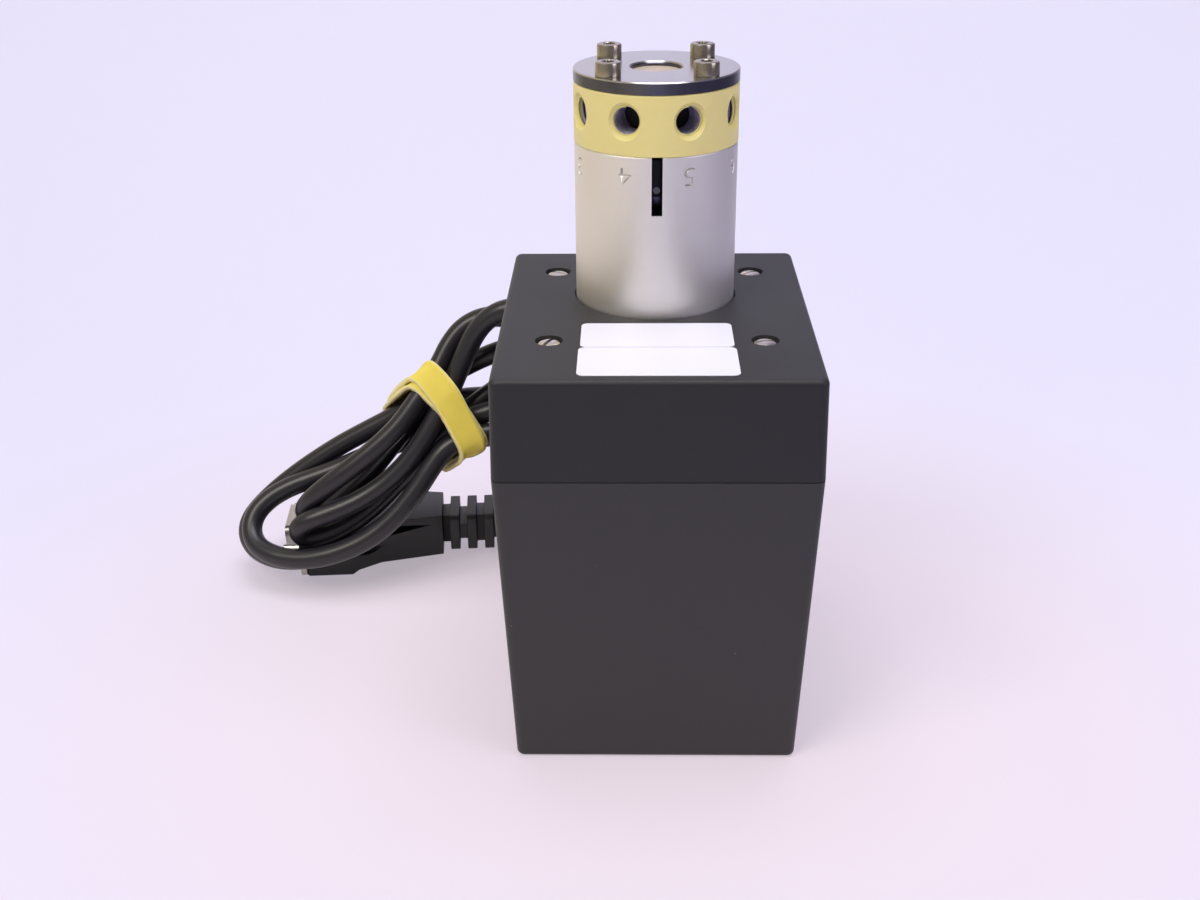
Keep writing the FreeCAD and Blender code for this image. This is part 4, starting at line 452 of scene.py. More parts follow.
def merged_copy(node, name, flat_deg=0.0):
    """A copy of a node's mesh with its doubles merged, and its flat faces whole where flat_deg is given."""
    shape = bmesh.new()
    shape.from_mesh(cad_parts[node].data)
    bmesh.ops.remove_doubles(shape, verts=shape.verts, dist=2e-6)
    if flat_deg:
        bmesh.ops.dissolve_limit(shape, angle_limit=math.radians(flat_deg), verts=shape.verts,
                                 edges=shape.edges)
    mesh = bpy.data.meshes.new(name)
    shape.to_mesh(mesh)
    shape.free()
    return mesh


def bevelled(builder, width, segments):
    """Rounds a builder's hard edges."""
    edge = builder.modifiers.new("edge", "BEVEL")
    edge.width = width
    edge.segments = segments
    edge.limit_method = "ANGLE"
    edge.angle_limit = math.radians(30)


def carved(builder, cutter):
    """Takes a cutter's shape out of a builder's."""
    cut = builder.modifiers.new("cut", "BOOLEAN")
    cut.operation = "DIFFERENCE"
    cut.solver = "MANIFOLD"
    cut.object = cutter


def rounded_copy(node, name, rounding):
    """A merged copy of a node's mesh with its hard edges rounded off."""
    builder = builder_of(merged_copy(node, name, 0.5))
    bevelled(builder, rounding, 3)
    return smoothed(plain_mesh(builder, name), 40)


def lathed(name, profile, steps, hexagon=()):
    """A closed shape turned about Z from (radius, height) pairs; rings listed in hexagon have six sides."""
    points, faces = [], []
    inner = profile[1:-1]
    for step in range(steps):
        angle = math.tau * step / steps
        off = (angle + math.pi / 6) % (math.pi / 3) - math.pi / 6
        for k, (radius, height) in enumerate(inner, 1):
            flat = radius / math.cos(off) if k in hexagon else radius
            points.append((flat * math.cos(angle), flat * math.sin(angle), height))
    count = len(inner)
    for step in range(steps):
        here, there = step * count, (step + 1) % steps * count
        faces.extend((here + k, there + k, there + k + 1, here + k + 1) for k in range(count - 1))
    for end, k in ((profile[0], 0), (profile[-1], count - 1)):
        points.append((0, 0, end[1]))
        middle = len(points) - 1
        faces.extend((step * count + k, (step + 1) % steps * count + k, middle) for step in range(steps))
    return made_mesh(name, points, faces)


SOCKETS = {int: "NodeSocketInt", float: "NodeSocketFloat", tuple: "NodeSocketVector"}


def repeat_tree(name, values):
    """A node tree for repeats with a named input for each value: (tree, its inputs, identifiers)."""
    tree = bpy.data.node_groups.new(name, "GeometryNodeTree")
    tree.interface.new_socket(name="Geometry", in_out="INPUT", socket_type="NodeSocketGeometry")
    keys = {}
    for label, value in values.items():
        socket = tree.interface.new_socket(name=label, in_out="INPUT", socket_type=SOCKETS[type(value)])
        keys[label] = socket.identifier
    tree.interface.new_socket(name="Geometry", in_out="OUTPUT", socket_type="NodeSocketGeometry")
    return tree, add(tree, "NodeGroupInput").outputs, keys


def close_tree(tree, points, shape, turns, material):
    """Ends a tree for repeats: the shape at each point, turned, as real faces of one material."""
    heading = add(tree, "FunctionNodeEulerToRotation", {0: turns})
    copies = add(tree, "GeometryNodeInstanceOnPoints", {
        "Points": points, "Instance": shape, "Rotation": heading.outputs[0]})
    real = add(tree, "GeometryNodeRealizeInstances", {0: copies.outputs[0]})
    painted = add(tree, "GeometryNodeSetMaterial", {"Geometry": real.outputs[0], "Material": material})
    add(tree, "NodeGroupOutput", {0: painted.outputs[0]})


def repeated(tree, keys, values, template, name):
    """Runs the tree on the template and gives the result as one plain mesh."""
    builder = builder_of(template)
    maker = builder.modifiers.new("repeat", "NODES")
    maker.node_group = tree
    for label, value in values.items():
        maker[keys[label]] = value
    return plain_mesh(builder, name)


# ------------------------------------------------------------------ what a user would change
COLOUR = {"subtype": "COLOR", "size": 3, "min": 0, "max": 1}


class ValveColours(bpy.types.PropertyGroup):
    housing: FloatVectorProperty(name="Housing", description="Moulded housing",
                                 default=linear("#141419")[:3], **COLOUR)
    # the base gets a lighter grey than the cover, though both are the same ABS: painted light on the lower
    # half
    base: FloatVectorProperty(name="Housing base", description="Lower half of the housing",
                              default=linear("#2B2A2C")[:3], **COLOUR)
    aluminium: FloatVectorProperty(name="Valve body", description="Anodised aluminium",
                                   default=linear("#F3F0ED")[:3], **COLOUR)
    stator: FloatVectorProperty(name="Stator", description="Polymer that holds the ports",
                                default=linear("#EADE90")[:3], **COLOUR)
    steel: FloatVectorProperty(name="Bright steel", description="Ring, screws and shafts",
                               default=linear("#C9C6C4")[:3], **COLOUR)
    label: FloatVectorProperty(name="Labels", description="Blank stickers",
                               default=linear("#E5E6F1")[:3], **COLOUR)
    rubber: FloatVectorProperty(name="Rubber band", description="Band round the cable",
                                default=linear("#EEDB58")[:3], **COLOUR)
    cable: FloatVectorProperty(name="Cable", description="Cable jacket",
                               default=linear("#232126")[:3], **COLOUR)
    plug: FloatVectorProperty(name="Plug", description="Plug hood and strain relief",
                              default=linear("#232225")[:3], **COLOUR)
    floor: FloatVectorProperty(name="Floor", description="Floor's colour",
                               default=linear("#E7E5FA")[:3], **COLOUR)
    backdrop: FloatVectorProperty(name="Backdrop", description="Backdrop's colour",
                                  default=linear("#E0DDF2")[:3], **COLOUR)


class ValveSizes(bpy.types.PropertyGroup):
    cable_length: FloatProperty(
        name="Cable length", description="From the gland to the plug", unit="LENGTH", default=1.1597, min=0.1)
    cable_diameter: FloatProperty(
        name="Cable diameter", description="Over the jacket", unit="LENGTH", default=5.5 * MM, min=1 * MM)
    band_width: FloatProperty(
        name="Band width", description="Width of one winding of the rubber band", unit="LENGTH",
        default=7.8 * MM, min=1 * MM)
    band_thickness: FloatProperty(
        name="Band thickness", description="Thickness of the rubber", unit="LENGTH",
        default=0.9 * MM, min=0.2 * MM)
    screw_head_radius: FloatProperty(
        name="Case screw head", description="Radius of a slotted head", unit="LENGTH",
        default=2.9 * MM, min=0.5 * MM)
    screw_head_height: FloatProperty(
        name="Case screw height", description="Height of a slotted head", unit="LENGTH",
        default=2.0 * MM, min=0.2 * MM)
    socket_head_radius: FloatProperty(
        name="Stator screw head", description="Radius of a socket head", unit="LENGTH",
        default=2.75 * MM, min=0.5 * MM)
    socket_head_height: FloatProperty(
        name="Stator screw height", description="Height of a socket head", unit="LENGTH",
        default=3.0 * MM, min=0.5 * MM)
    thread_pitch: FloatProperty(
        name="Port thread pitch", description="From one thread crest to the next", unit="LENGTH",
        default=0.907 * MM, min=0.2 * MM)
    figure_height: FloatProperty(
        name="Figure height", description="Height of the port numbers", unit="LENGTH",
        default=4.0 * MM, min=1 * MM)


# ------------------------------------------------------------------ pieces, one operator each
class VALVE_OT_stage(bpy.types.Operator):
    """Floor, backdrop, lamps and camera"""
    bl_idname = "valve.stage"
    bl_label = "Stage"

    CAMERA_AT = (-0.00555, -0.32063, 0.20793)
    CAMERA_TURNS_DEG = (64.949314, 0.487921, 1.049653)
    LENS_MM = 45.669
    LAMPS = (
        # name, place and aim in metres, side of its square in metres, watts, tint
        ("key", (-0.55, -0.55, 0.95), (0, 0, 0.06), 0.55, 6.2, "#FFF6EA"),
        ("fill", (0.85, -0.45, 0.55), (0, 0, 0.06), 0.60, 2.9, "#F2ECFF"),
        ("overhead", (0.05, 0.0, 1.25), (0, 0, 0.05), 0.80, 9.4, "#FBF9FF"),
    )

    def execute(self, context):
        scene = context.scene
        self.camera(scene)
        self.paper(scene)
        self.lamps(scene)
        self.room(scene)
        scene.view_settings.view_transform = "Standard"
        return {"FINISHED"}

    def camera(self, scene):
        lens = bpy.data.cameras.new("camera")
        lens.lens = self.LENS_MM
        lens.sensor_width = 36.0
        lens.clip_start = 0.01
        camera = bpy.data.objects.new("camera", lens)
        camera.location = self.CAMERA_AT
        camera.rotation_euler = [math.radians(a) for a in self.CAMERA_TURNS_DEG]
        scene.collection.objects.link(camera)
        scene.camera = camera

    def paper(self, scene):
        """One sheet from the floor up the backdrop, with a wide bend and no fold."""
        half, front, bend, top, radius, steps = 5.0, -4.0, 0.75, 3.0, 0.55, 24
        line = [(front, 0.0), (bend - radius, 0.0)]
        for k in range(1, steps + 1):
            turn = math.radians(90 * k / steps)
            line.append((bend - radius + radius * math.sin(turn), radius - radius * math.cos(turn)))
        line.append((bend, top))
        points = [(x, y, z) for y, z in line for x in (-half, half)]
        faces = [(2 * k, 2 * k + 1, 2 * k + 3, 2 * k + 2) for k in range(len(line) - 1)]
        mesh = bpy.data.meshes.new("paper")
        mesh.from_pydata(points, [], faces)
        mesh.shade_smooth()
        sheet = bpy.data.objects.new("paper", mesh)
        scene.collection.objects.link(sheet)
        mesh.materials.append(studio_paper())

    def lamps(self, scene):
        for name, at, aim, side, watts, tint in self.LAMPS:
            lamp = bpy.data.lights.new(name, "AREA")
            lamp.shape = "SQUARE"
            lamp.size = side
            lamp.energy = watts
            lamp.color = linear(tint)[:3]
            lit = bpy.data.objects.new(name, lamp)
            lit.location = at
            lit.rotation_euler = (Vector(aim) - Vector(at)).to_track_quat("-Z", "Y").to_euler()
            scene.collection.objects.link(lit)

    def room(self, scene):
        """A plain room: warmer and lighter on the left, cooler and dimmer on the right."""
        world = bpy.data.worlds.new("room")
        world.use_nodes = True
        tree = world.node_tree
        tree.nodes.clear()
        ray = add(tree, "ShaderNodeTexCoord").outputs["Generated"]
        heading = add(tree, "ShaderNodeSeparateXYZ", {0: ray})
        side = add(tree, "ShaderNodeMapRange", {0: heading.outputs[0], 1: -0.8, 2: 0.8})
        walls = add(tree, "ShaderNodeMix", {0: side.outputs[0], 6: linear("#EDE6DC"), 7: linear("#8F8AA2")},
                    data_type="RGBA")
        air = add(tree, "ShaderNodeBackground", {0: walls.outputs[2], 1: 0.5})
        add(tree, "ShaderNodeOutputWorld", {0: air.outputs[0]})
        scene.world = world


class VALVE_OT_cable(bpy.types.Operator):
    """The cable: one limp line from the gland round the hank's four loops to the plug"""
    bl_idname = "valve.cable"
    bl_label = "Cable"

    def execute(self, context):
        line = bpy.data.curves.new("cable", "CURVE")
        line.dimensions = "3D"
        spline = line.splines.new("NURBS")
        spline.points.add(len(CABLE_ROUTE) - 1)
        for point, place in zip(spline.points, CABLE_ROUTE):
            point.co = (*(Vector(place) * MM), 1.0)
        spline.order_u = 3
        spline.use_endpoint_u = True
        line.resolution_u = 8
        line.bevel_depth = size_of("cable_diameter") / 2
        line.bevel_resolution = 7
        line.use_fill_caps = True
        line.materials.append(cable_jacket())
        cable = bpy.data.objects.new("cable", line)
        context.scene.collection.objects.link(cable)
        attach(cable, "housing")
        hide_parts("cable_lead", "cable_hank", "cable_tail")
        return {"FINISHED"}


def cable_line():
    """The cable's centreline as closely spaced points, read from its own spline."""
    bare = bpy.data.objects["cable"].data.copy()
    bare.bevel_depth = 0
    mesh = plain_mesh(builder_of(bare), "cable_line")
    points = [v.co.copy() for v in mesh.vertices]
    bpy.data.meshes.remove(mesh)
    bpy.data.curves.remove(bare)
    return points


def hull(points):
    """The convex outline of flat points, in order."""
    points = sorted(set(points))
    halves = []
    for run in (points, points[::-1]):
        half = []
        for p in run:
            while len(half) > 1 and ((half[-1][0] - half[-2][0]) * (p[1] - half[-2][1])
                                     <= (half[-1][1] - half[-2][1]) * (p[0] - half[-2][0])):
                half.pop()
            half.append(p)
        halves.append(half[:-1])
    return halves[0] + halves[1]


def reach_of(edge, u, v):
    """How far a convex outline lies from the origin in the direction (u, v)."""
    best = 0.0
    for (x0, y0), (x1, y1) in zip(edge, edge[1:] + edge[:1]):
        cross = u * (y1 - y0) - v * (x1 - x0)
        if abs(cross) < 1e-12:
            continue
        far = (x0 * (y1 - y0) - y0 * (x1 - x0)) / cross
        part = (x0 * v - y0 * u) / cross
        if far > 0 and -1e-6 <= part <= 1 + 1e-6:
            best = max(best, far)
    return best


class VALVE_OT_band(bpy.types.Operator):
    """The rubber band: two windings pulled tight round the hank's strands"""
    bl_idname = "valve.band"
    bl_label = "Rubber band"

    WINDINGS = (
        # place along the hank in mm, lean across and outward, layer over the strands in mm
        (-7.0, -0.02, -0.9, 1.1),
        (-7.9, -0.14, -1.0, 0.1),
    )
    STEPS = 120               # round a winding
    STATIONS = 9              # across its width
    HELD = 0.65               # the share of an edge's outline that it takes from the middle's
    ROLL = 0.55               # how much thicker than the rubber its rolled edges are
    WAVE = 0.12 * MM          # the outer face's unevenness
    WANDER = 0.35 * MM        # how far the edges wander along the hank
    GATHER = 26 * MM          # strands further from the hank's middle are left out
    STEEPEST = 0.7            # a strand's cut is drawn no longer than at this slant
    STRAND_SIDES = 24

    def execute(self, context):
        line = cable_line()
        points, faces, rims = [], [], []
        for along, lean_across, lean_out, layer in self.WINDINGS:
            self.winding(line, along, lean_across, lean_out, layer, points, faces, rims)
        mesh = bpy.data.meshes.new("rubber_band")
        mesh.from_pydata(points, [], faces)
        mark = mesh.attributes.new("rim", "FLOAT", "POINT")
        for k, rim in enumerate(rims):
            mark.data[k].value = rim
        faces_out(mesh, merge=False)
        mesh.shade_smooth()
        new_piece("rubber_band", mesh, band_latex(), ("hank_band",))
        return {"FINISHED"}

    def winding(self, line, along, lean_across, lean_out, layer, points, faces, rims):
        """Adds one closed loop of rubber, two-walled, with its edges rolled."""
        normal = (HANK_ALONG + HANK_ACROSS * lean_across + HANK_OUT * lean_out).normalized()
        across = (HANK_ACROSS - normal * HANK_ACROSS.dot(normal)).normalized()
        out = normal.cross(across)
        width, thick = size_of("band_width"), size_of("band_thickness")
        first = len(points)
        rings = []
        for station in range(self.STATIONS):
            share = station / (self.STATIONS - 1) * 2 - 1
            centre = HANK_AT + HANK_ALONG * (along * MM + share * width / 2)
            rings.append((share, centre, self.outline(line, centre, normal, across, out, layer * MM)))
        middle = rings[self.STATIONS // 2][2]
        for share, centre, outline in rings:
            # the rubber bridges the strands, so each edge keeps close to the middle's outline
            held = [(1 - self.HELD) * a + self.HELD * m for a, m in zip(outline, middle)]
            rolled = abs(share) ** 6
            for outer, lift in ((0, 0.0), (1, thick * (1 + self.ROLL * rolled))):
                for step, far in enumerate(held):
                    angle = math.tau * step / self.STEPS
                    wave = self.WAVE * math.sin(3 * angle + 2 * share + along) * outer
                    ray = across * math.cos(angle) + out * math.sin(angle)
                    edge = normal * (self.WANDER * math.sin(2 * angle + along) * abs(share))
                    points.append(tuple(centre + ray * (far + lift + wave) + edge))
                    rims.append(rolled)
        last = 2 * self.STATIONS - 2
        for step in range(self.STEPS):
            there = (step + 1) % self.STEPS
            for station in range(self.STATIONS - 1):
                for side in (0, 1):
                    a = first + (2 * station + side) * self.STEPS
                    b = a + 2 * self.STEPS
                    quad = (a + step, a + there, b + there, b + step)
                    faces.append(quad if side == 0 else quad[::-1])
            for wall in (0, last):
                a = first + wall * self.STEPS
                b = a + self.STEPS
                faces.append((a + step, a + there, b + there, b + step))

    def outline(self, line, centre, normal, across, out, layer):
        """How far the rubber lies from the centre, all round, where this plane cuts the strands."""
        radius = size_of("cable_diameter") / 2
        spots = []
        for here, there in zip(line, line[1:]):
            a, b = (here - centre).dot(normal), (there - centre).dot(normal)
            if a * b > 0 or a == b:
                continue
            spot = here.lerp(there, a / (a - b)) - centre
            if spot.length > self.GATHER:
                continue
            heading = there - here
            slant = abs(heading.normalized().dot(normal))
            x, y = spot.dot(across), spot.dot(out)
            hx, hy = heading.dot(across), heading.dot(out)
            size = math.hypot(hx, hy) or 1.0
            for k in range(self.STRAND_SIDES):
                turn = math.tau * k / self.STRAND_SIDES
                u, v = math.cos(turn), math.sin(turn)
                stretch = (u * hx + v * hy) / size
                reach = radius * (1 + (1 / max(slant, self.STEEPEST) - 1) * stretch * stretch) + layer
                spots.append((round(x + reach * u, 7), round(y + reach * v, 7)))
        edge = hull(spots)
        angles = [math.tau * step / self.STEPS for step in range(self.STEPS)]
        reach = [reach_of(edge, math.cos(angle), math.sin(angle)) for angle in angles]
        soft = [sum(reach[(k + d) % self.STEPS] for d in (-2, -1, 0, 1, 2)) / 5 for k in range(self.STEPS)]
        return [max(a, b) for a, b in zip(reach, soft)]


class VALVE_OT_plug(bpy.types.Operator):
    """The plug on the cable: hood, ribbed strain relief, metal shell, pins and jack screws"""
    bl_idname = "valve.plug"
    bl_label = "Plug"

    FINISHES = (
        (rolled_metal, "tin_plated_steel_shell", "#C4C2BD", 0.22, 0.36, "plug_shell"),
        (rolled_metal, "nickel_plated_jack_screws", "#C9C5BC", 0.2, 0.34, "jack_screw_near jack_screw_far"),
        (moulded_plastic, "glass_filled_polyester", "#1C1B1D", 0.35, 0.45, "plug_insert"),
        (rolled_metal, "gold_plated_brass", "#D8A94A", 0.18, 0.3, "plug_pins"),
    )

    def execute(self, context):
        black = moulded_plastic("moulded_pvc_hood", colour_of("plug"), 0.4, 0.52, 0.7, 0.03, dust=0.3)
        hood = new_piece("plug_hood_piece", rounded_copy("plug_hood", "plug_hood_piece", 0.45 * MM), black,
                         ("plug_hood",))
        relief = new_piece("plug_relief_piece", rounded_copy("plug_relief", "plug_relief_piece", 0.35 * MM),
                           black, ("plug_relief",))
        give_finishes(self.FINISHES)
        on_it = [bpy.data.objects["rubber_band"], hood, relief]
        on_it += [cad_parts[n] for n in ("plug_shell", "plug_insert", "plug_pins", "jack_screw_near",
                                              "jack_screw_far")]
        size_of("cable_length")
        size_of("cable_diameter")
        return {"FINISHED"}


class VALVE_OT_housing(bpy.types.Operator):
    """The housing's two halves, the blank labels and the cable gland"""
    bl_idname = "valve.housing"
    bl_label = "Housing"

    FINISHES = (
        (housing_moulding, "moulded_abs_cover", "housing", 0.5, 0.6, "housing_cover"),
        # the base's lighter colour is painted light on the lower half
        (housing_moulding, "moulded_abs_base", "base", 0.52, 0.62, "housing_base"),
        (moulded_plastic, "moulded_nylon_gland", "#232224", 0.4, 0.52, "cable_gland"),
        (moulded_plastic, "moulded_nylon_nut", "#29282B", 0.4, 0.5, "gland_nut"),
    )

    def execute(self, context):
        give_finishes(self.FINISHES)
        give_finish(polyester_label(), "label_upper", "label_lower")
        return {"FINISHED"}


class VALVE_OT_case_screws(bpy.types.Operator):
    """The four slotted screws that hold the cover, one head repeated in a square"""
    bl_idname = "valve.case_screws"
    bl_label = "Case screws"

    TURNS_DEG = (62, 150, 12, 35)
    SLOT_HALF = 0.4 * MM
    # the crown's line as shares of the head's radius and height
    CROWN = ((0, 0.0), (0.35, -0.02), (0.6, -0.09), (0.8, -0.2), (0.93, -0.33), (0.985, -0.48), (1.0, -0.65),
             (1.0, -0.94), (0.975, -1.0))

    def execute(self, context):
        low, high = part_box("case_screws")
        radius, height = size_of("screw_head_radius"), size_of("screw_head_height")
        material = rolled_metal("nickel_plated_steel", linear("#E0DBD1"), 0.16, 0.32)
        turns = {f"Slot turn {k}": math.radians(turned) for k, turned in enumerate(self.TURNS_DEG, 1)}
        values = {"Spacing": high[0] - low[0] - 2 * radius,
                  "Centre": ((low[0] + high[0]) / 2, (low[1] + high[1]) / 2, high[2]), **turns}
        tree, given, keys = repeat_tree("screws_in_a_square", values)
        grid = add(tree, "GeometryNodeMeshGrid", {
            "Size X": given["Spacing"], "Size Y": given["Spacing"], "Vertices X": 2, "Vertices Y": 2})
        spots = add(tree, "GeometryNodeTransform", {
            "Geometry": grid.outputs["Mesh"], "Translation": given["Centre"]})
        chosen = add(tree, "GeometryNodeIndexSwitch", data_type="FLOAT")
        while len(chosen.index_switch_items) < len(turns):
            chosen.index_switch_items.new()
        tree.links.new(add(tree, "GeometryNodeInputIndex").outputs[0], chosen.inputs["Index"])
        for k, label in enumerate(turns, 1):
            tree.links.new(given[label], chosen.inputs[k])
        turn = add(tree, "ShaderNodeCombineXYZ", {2: chosen.outputs[0]})
        close_tree(tree, spots.outputs[0], given["Geometry"], turn.outputs[0], material)
        mesh = repeated(tree, keys, values, self.head(radius, height, high[2] - low[2]), "case_screw_set")
        new_piece("case_screw_set", smoothed(mesh, 30), material, ("case_screws",))
        return {"FINISHED"}

    def head(self, radius, height, length):
        """A raised slotted head with its shank; its top is at height 0."""
        profile = [(radius * r, height * z) for r, z in self.CROWN] + shank_line(height, length)
        builder = builder_of(lathed("screw_head", profile, 48))
        cutter = builder_of(made_mesh("slot", *box_shape((-2 * radius, -self.SLOT_HALF, -0.55 * height),
                                                         (2 * radius, self.SLOT_HALF, height))))
        carved(builder, cutter)
        bevelled(builder, 0.06 * MM, 2)
        mesh = plain_mesh(builder, "screw_head")
        bpy.data.objects.remove(cutter)
        return mesh


def shank_line(height, length):
    """The profile of an M3 shank from under a head to its chamfered tip."""
    shank, chamfer = 1.5 * MM, 0.4 * MM
    return [(shank, -height), (shank, -length + chamfer), (shank - chamfer, -length), (0, -length)]


def box_shape(low, high):
    points = [(x, y, z) for x in (low[0], high[0]) for y in (low[1], high[1]) for z in (low[2], high[2])]
    faces = [(0, 1, 3, 2), (4, 6, 7, 5), (0, 4, 5, 1), (2, 3, 7, 6), (0, 2, 6, 4), (1, 5, 7, 3)]
    return points, faces


class VALVE_OT_head(bpy.types.Operator):
    """Finishes of the valve head: straw polymer stator, polished steel ring and their dowels"""
    bl_idname = "valve.head"
    bl_label = "Valve head"

    def execute(self, context):
        give_finish(turned_peek(), "stator")
        give_finish(polished_ring(), "pressure_ring")
        dowels = turned_metal("ground_stainless_dowels", colour_of("steel"), 0.2, 0.3)
        give_finish(dowels, "stator_dowels", "seal_pins")
        return {"FINISHED"}


class VALVE_OT_stator_screws(bpy.types.Operator):
    """The four socket screws on the steel ring, one screw repeated round the axis"""
    bl_idname = "valve.stator_screws"
    bl_label = "Stator screws"

    def execute(self, context):
        low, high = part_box("stator_screws")
        radius, height = size_of("socket_head_radius"), size_of("socket_head_height")
        material = turned_metal("stainless_socket_screws", linear("#B3AB9A"), 0.16, 0.3, 0.3, 0.004)
        values = {"Circle radius": ((high[0] - low[0]) / 2 - radius) * math.sqrt(2),
                  "Centre": (HEAD_AXIS[0], HEAD_AXIS[1], high[2]), "First turn": math.radians(45), "Seed": 4}
        tree, given, keys = repeat_tree("screws_round_an_axis", values)
        ring = add(tree, "GeometryNodeMeshCircle", {"Vertices": 4, "Radius": given["Circle radius"]})
        first = add(tree, "ShaderNodeCombineXYZ", {2: given["First turn"]})
        spots = add(tree, "GeometryNodeTransform", {
            "Geometry": ring.outputs[0], "Translation": given["Centre"], "Rotation": first.outputs[0]})
        chance = add(tree, "FunctionNodeRandomValue", {
            "Min": (0, 0, 0), "Max": (0, 0, math.tau), "Seed": given["Seed"]}, data_type="FLOAT_VECTOR")
        close_tree(tree, spots.outputs[0], given["Geometry"], chance.outputs[0], material)
        template = self.screw(radius, height, high[2] - low[2])
        mesh = repeated(tree, keys, values, template, "stator_screw_set")
        new_piece("stator_screw_set", smoothed(mesh, 30), material, ("stator_screws",))
        return {"FINISHED"}

    def screw(self, radius, height, length):
        """A socket cap screw with its top at height 0: hexagon socket, rounded rim, plain shank."""
        key, depth = 1.25 * MM, 1.5 * MM
        profile = [(0, -depth - 0.5 * MM), (key * 0.6, -depth - 0.2 * MM), (key, -depth), (key, -0.12 * MM),
                   (key * 1.12, 0), (radius - 0.35 * MM, 0), (radius - 0.1 * MM, -0.1 * MM),
                   (radius, -0.35 * MM), (radius, -height + 0.08 * MM), (radius - 0.08 * MM, -height)]
        return lathed("socket_screw", profile + shank_line(height, length), 60, hexagon=(2, 3))


class VALVE_OT_port_threads(bpy.types.Operator):
    """The threads inside the stator's ports, one spiral repeated at each port"""
    bl_idname = "valve.port_threads"
    bl_label = "Port threads"

    THREAD_R, MOUTH, DEPTH, CREST = 3.175 * MM, 0.9 * MM, 7.6 * MM, 0.34 * MM

    def execute(self, context):
        length = self.DEPTH - self.MOUTH
        material = shaded_threads()
        values = {"Port count": PORT_COUNT, "First angle": PORT_FIRST, "Step angle": PORT_STEP,
                  "Centre": (HEAD_AXIS[0], HEAD_AXIS[1], PORT_Z), "Mouth radius": STATOR_R - self.MOUTH,
                  "Thread radius": self.THREAD_R, "Thread length": length,
                  "Turns": length / size_of("thread_pitch"), "Crest": self.CREST}
        tree, given, keys = repeat_tree("threads_in_the_ports", values)
        spiral = add(tree, "GeometryNodeCurveSpiral", {
            "Resolution": 30, "Rotations": given["Turns"], "Start Radius": given["Thread radius"],
            "End Radius": given["Thread radius"], "Height": given["Thread length"]})
        ridge = add(tree, "GeometryNodeCurvePrimitiveCircle", {"Resolution": 4, "Radius": given["Crest"]},
                    mode="RADIUS")
        thread = add(tree, "GeometryNodeCurveToMesh", {
            "Curve": spiral.outputs[0], "Profile Curve": ridge.outputs[0], "Fill Caps": True})
        laid = add(tree, "GeometryNodeTransform", {
            "Geometry": thread.outputs[0], "Rotation": (0, math.radians(-90), 0)})
        spots = add(tree, "GeometryNodeMeshLine", {"Count": given["Port count"], "Offset": (0, 0, 0)},
                    mode="OFFSET")
        steps = add(tree, "ShaderNodeMath", {
            0: add(tree, "GeometryNodeInputIndex").outputs[0], 1: given["Step angle"],
            2: given["First angle"]}, operation="MULTIPLY_ADD")
        turn = add(tree, "ShaderNodeCombineXYZ", {2: steps.outputs[0]})
        reach = add(tree, "ShaderNodeCombineXYZ", {0: given["Mouth radius"]})
        swung = add(tree, "ShaderNodeVectorRotate", {"Vector": reach.outputs[0], "Angle": steps.outputs[0]},
                    rotation_type="Z_AXIS")
        placed = add(tree, "ShaderNodeVectorMath", {0: swung.outputs[0], 1: given["Centre"]}, operation="ADD")
        moved = add(tree, "GeometryNodeSetPosition", {
            "Geometry": spots.outputs[0], "Position": placed.outputs[0]})
        close_tree(tree, moved.outputs[0], laid.outputs[0], turn.outputs[0], material)
        mesh = repeated(tree, keys, values, bpy.data.meshes.new("threads"), "port_thread_set")
        new_piece("port_thread_set", faces_out(mesh), material)
        return {"FINISHED"}


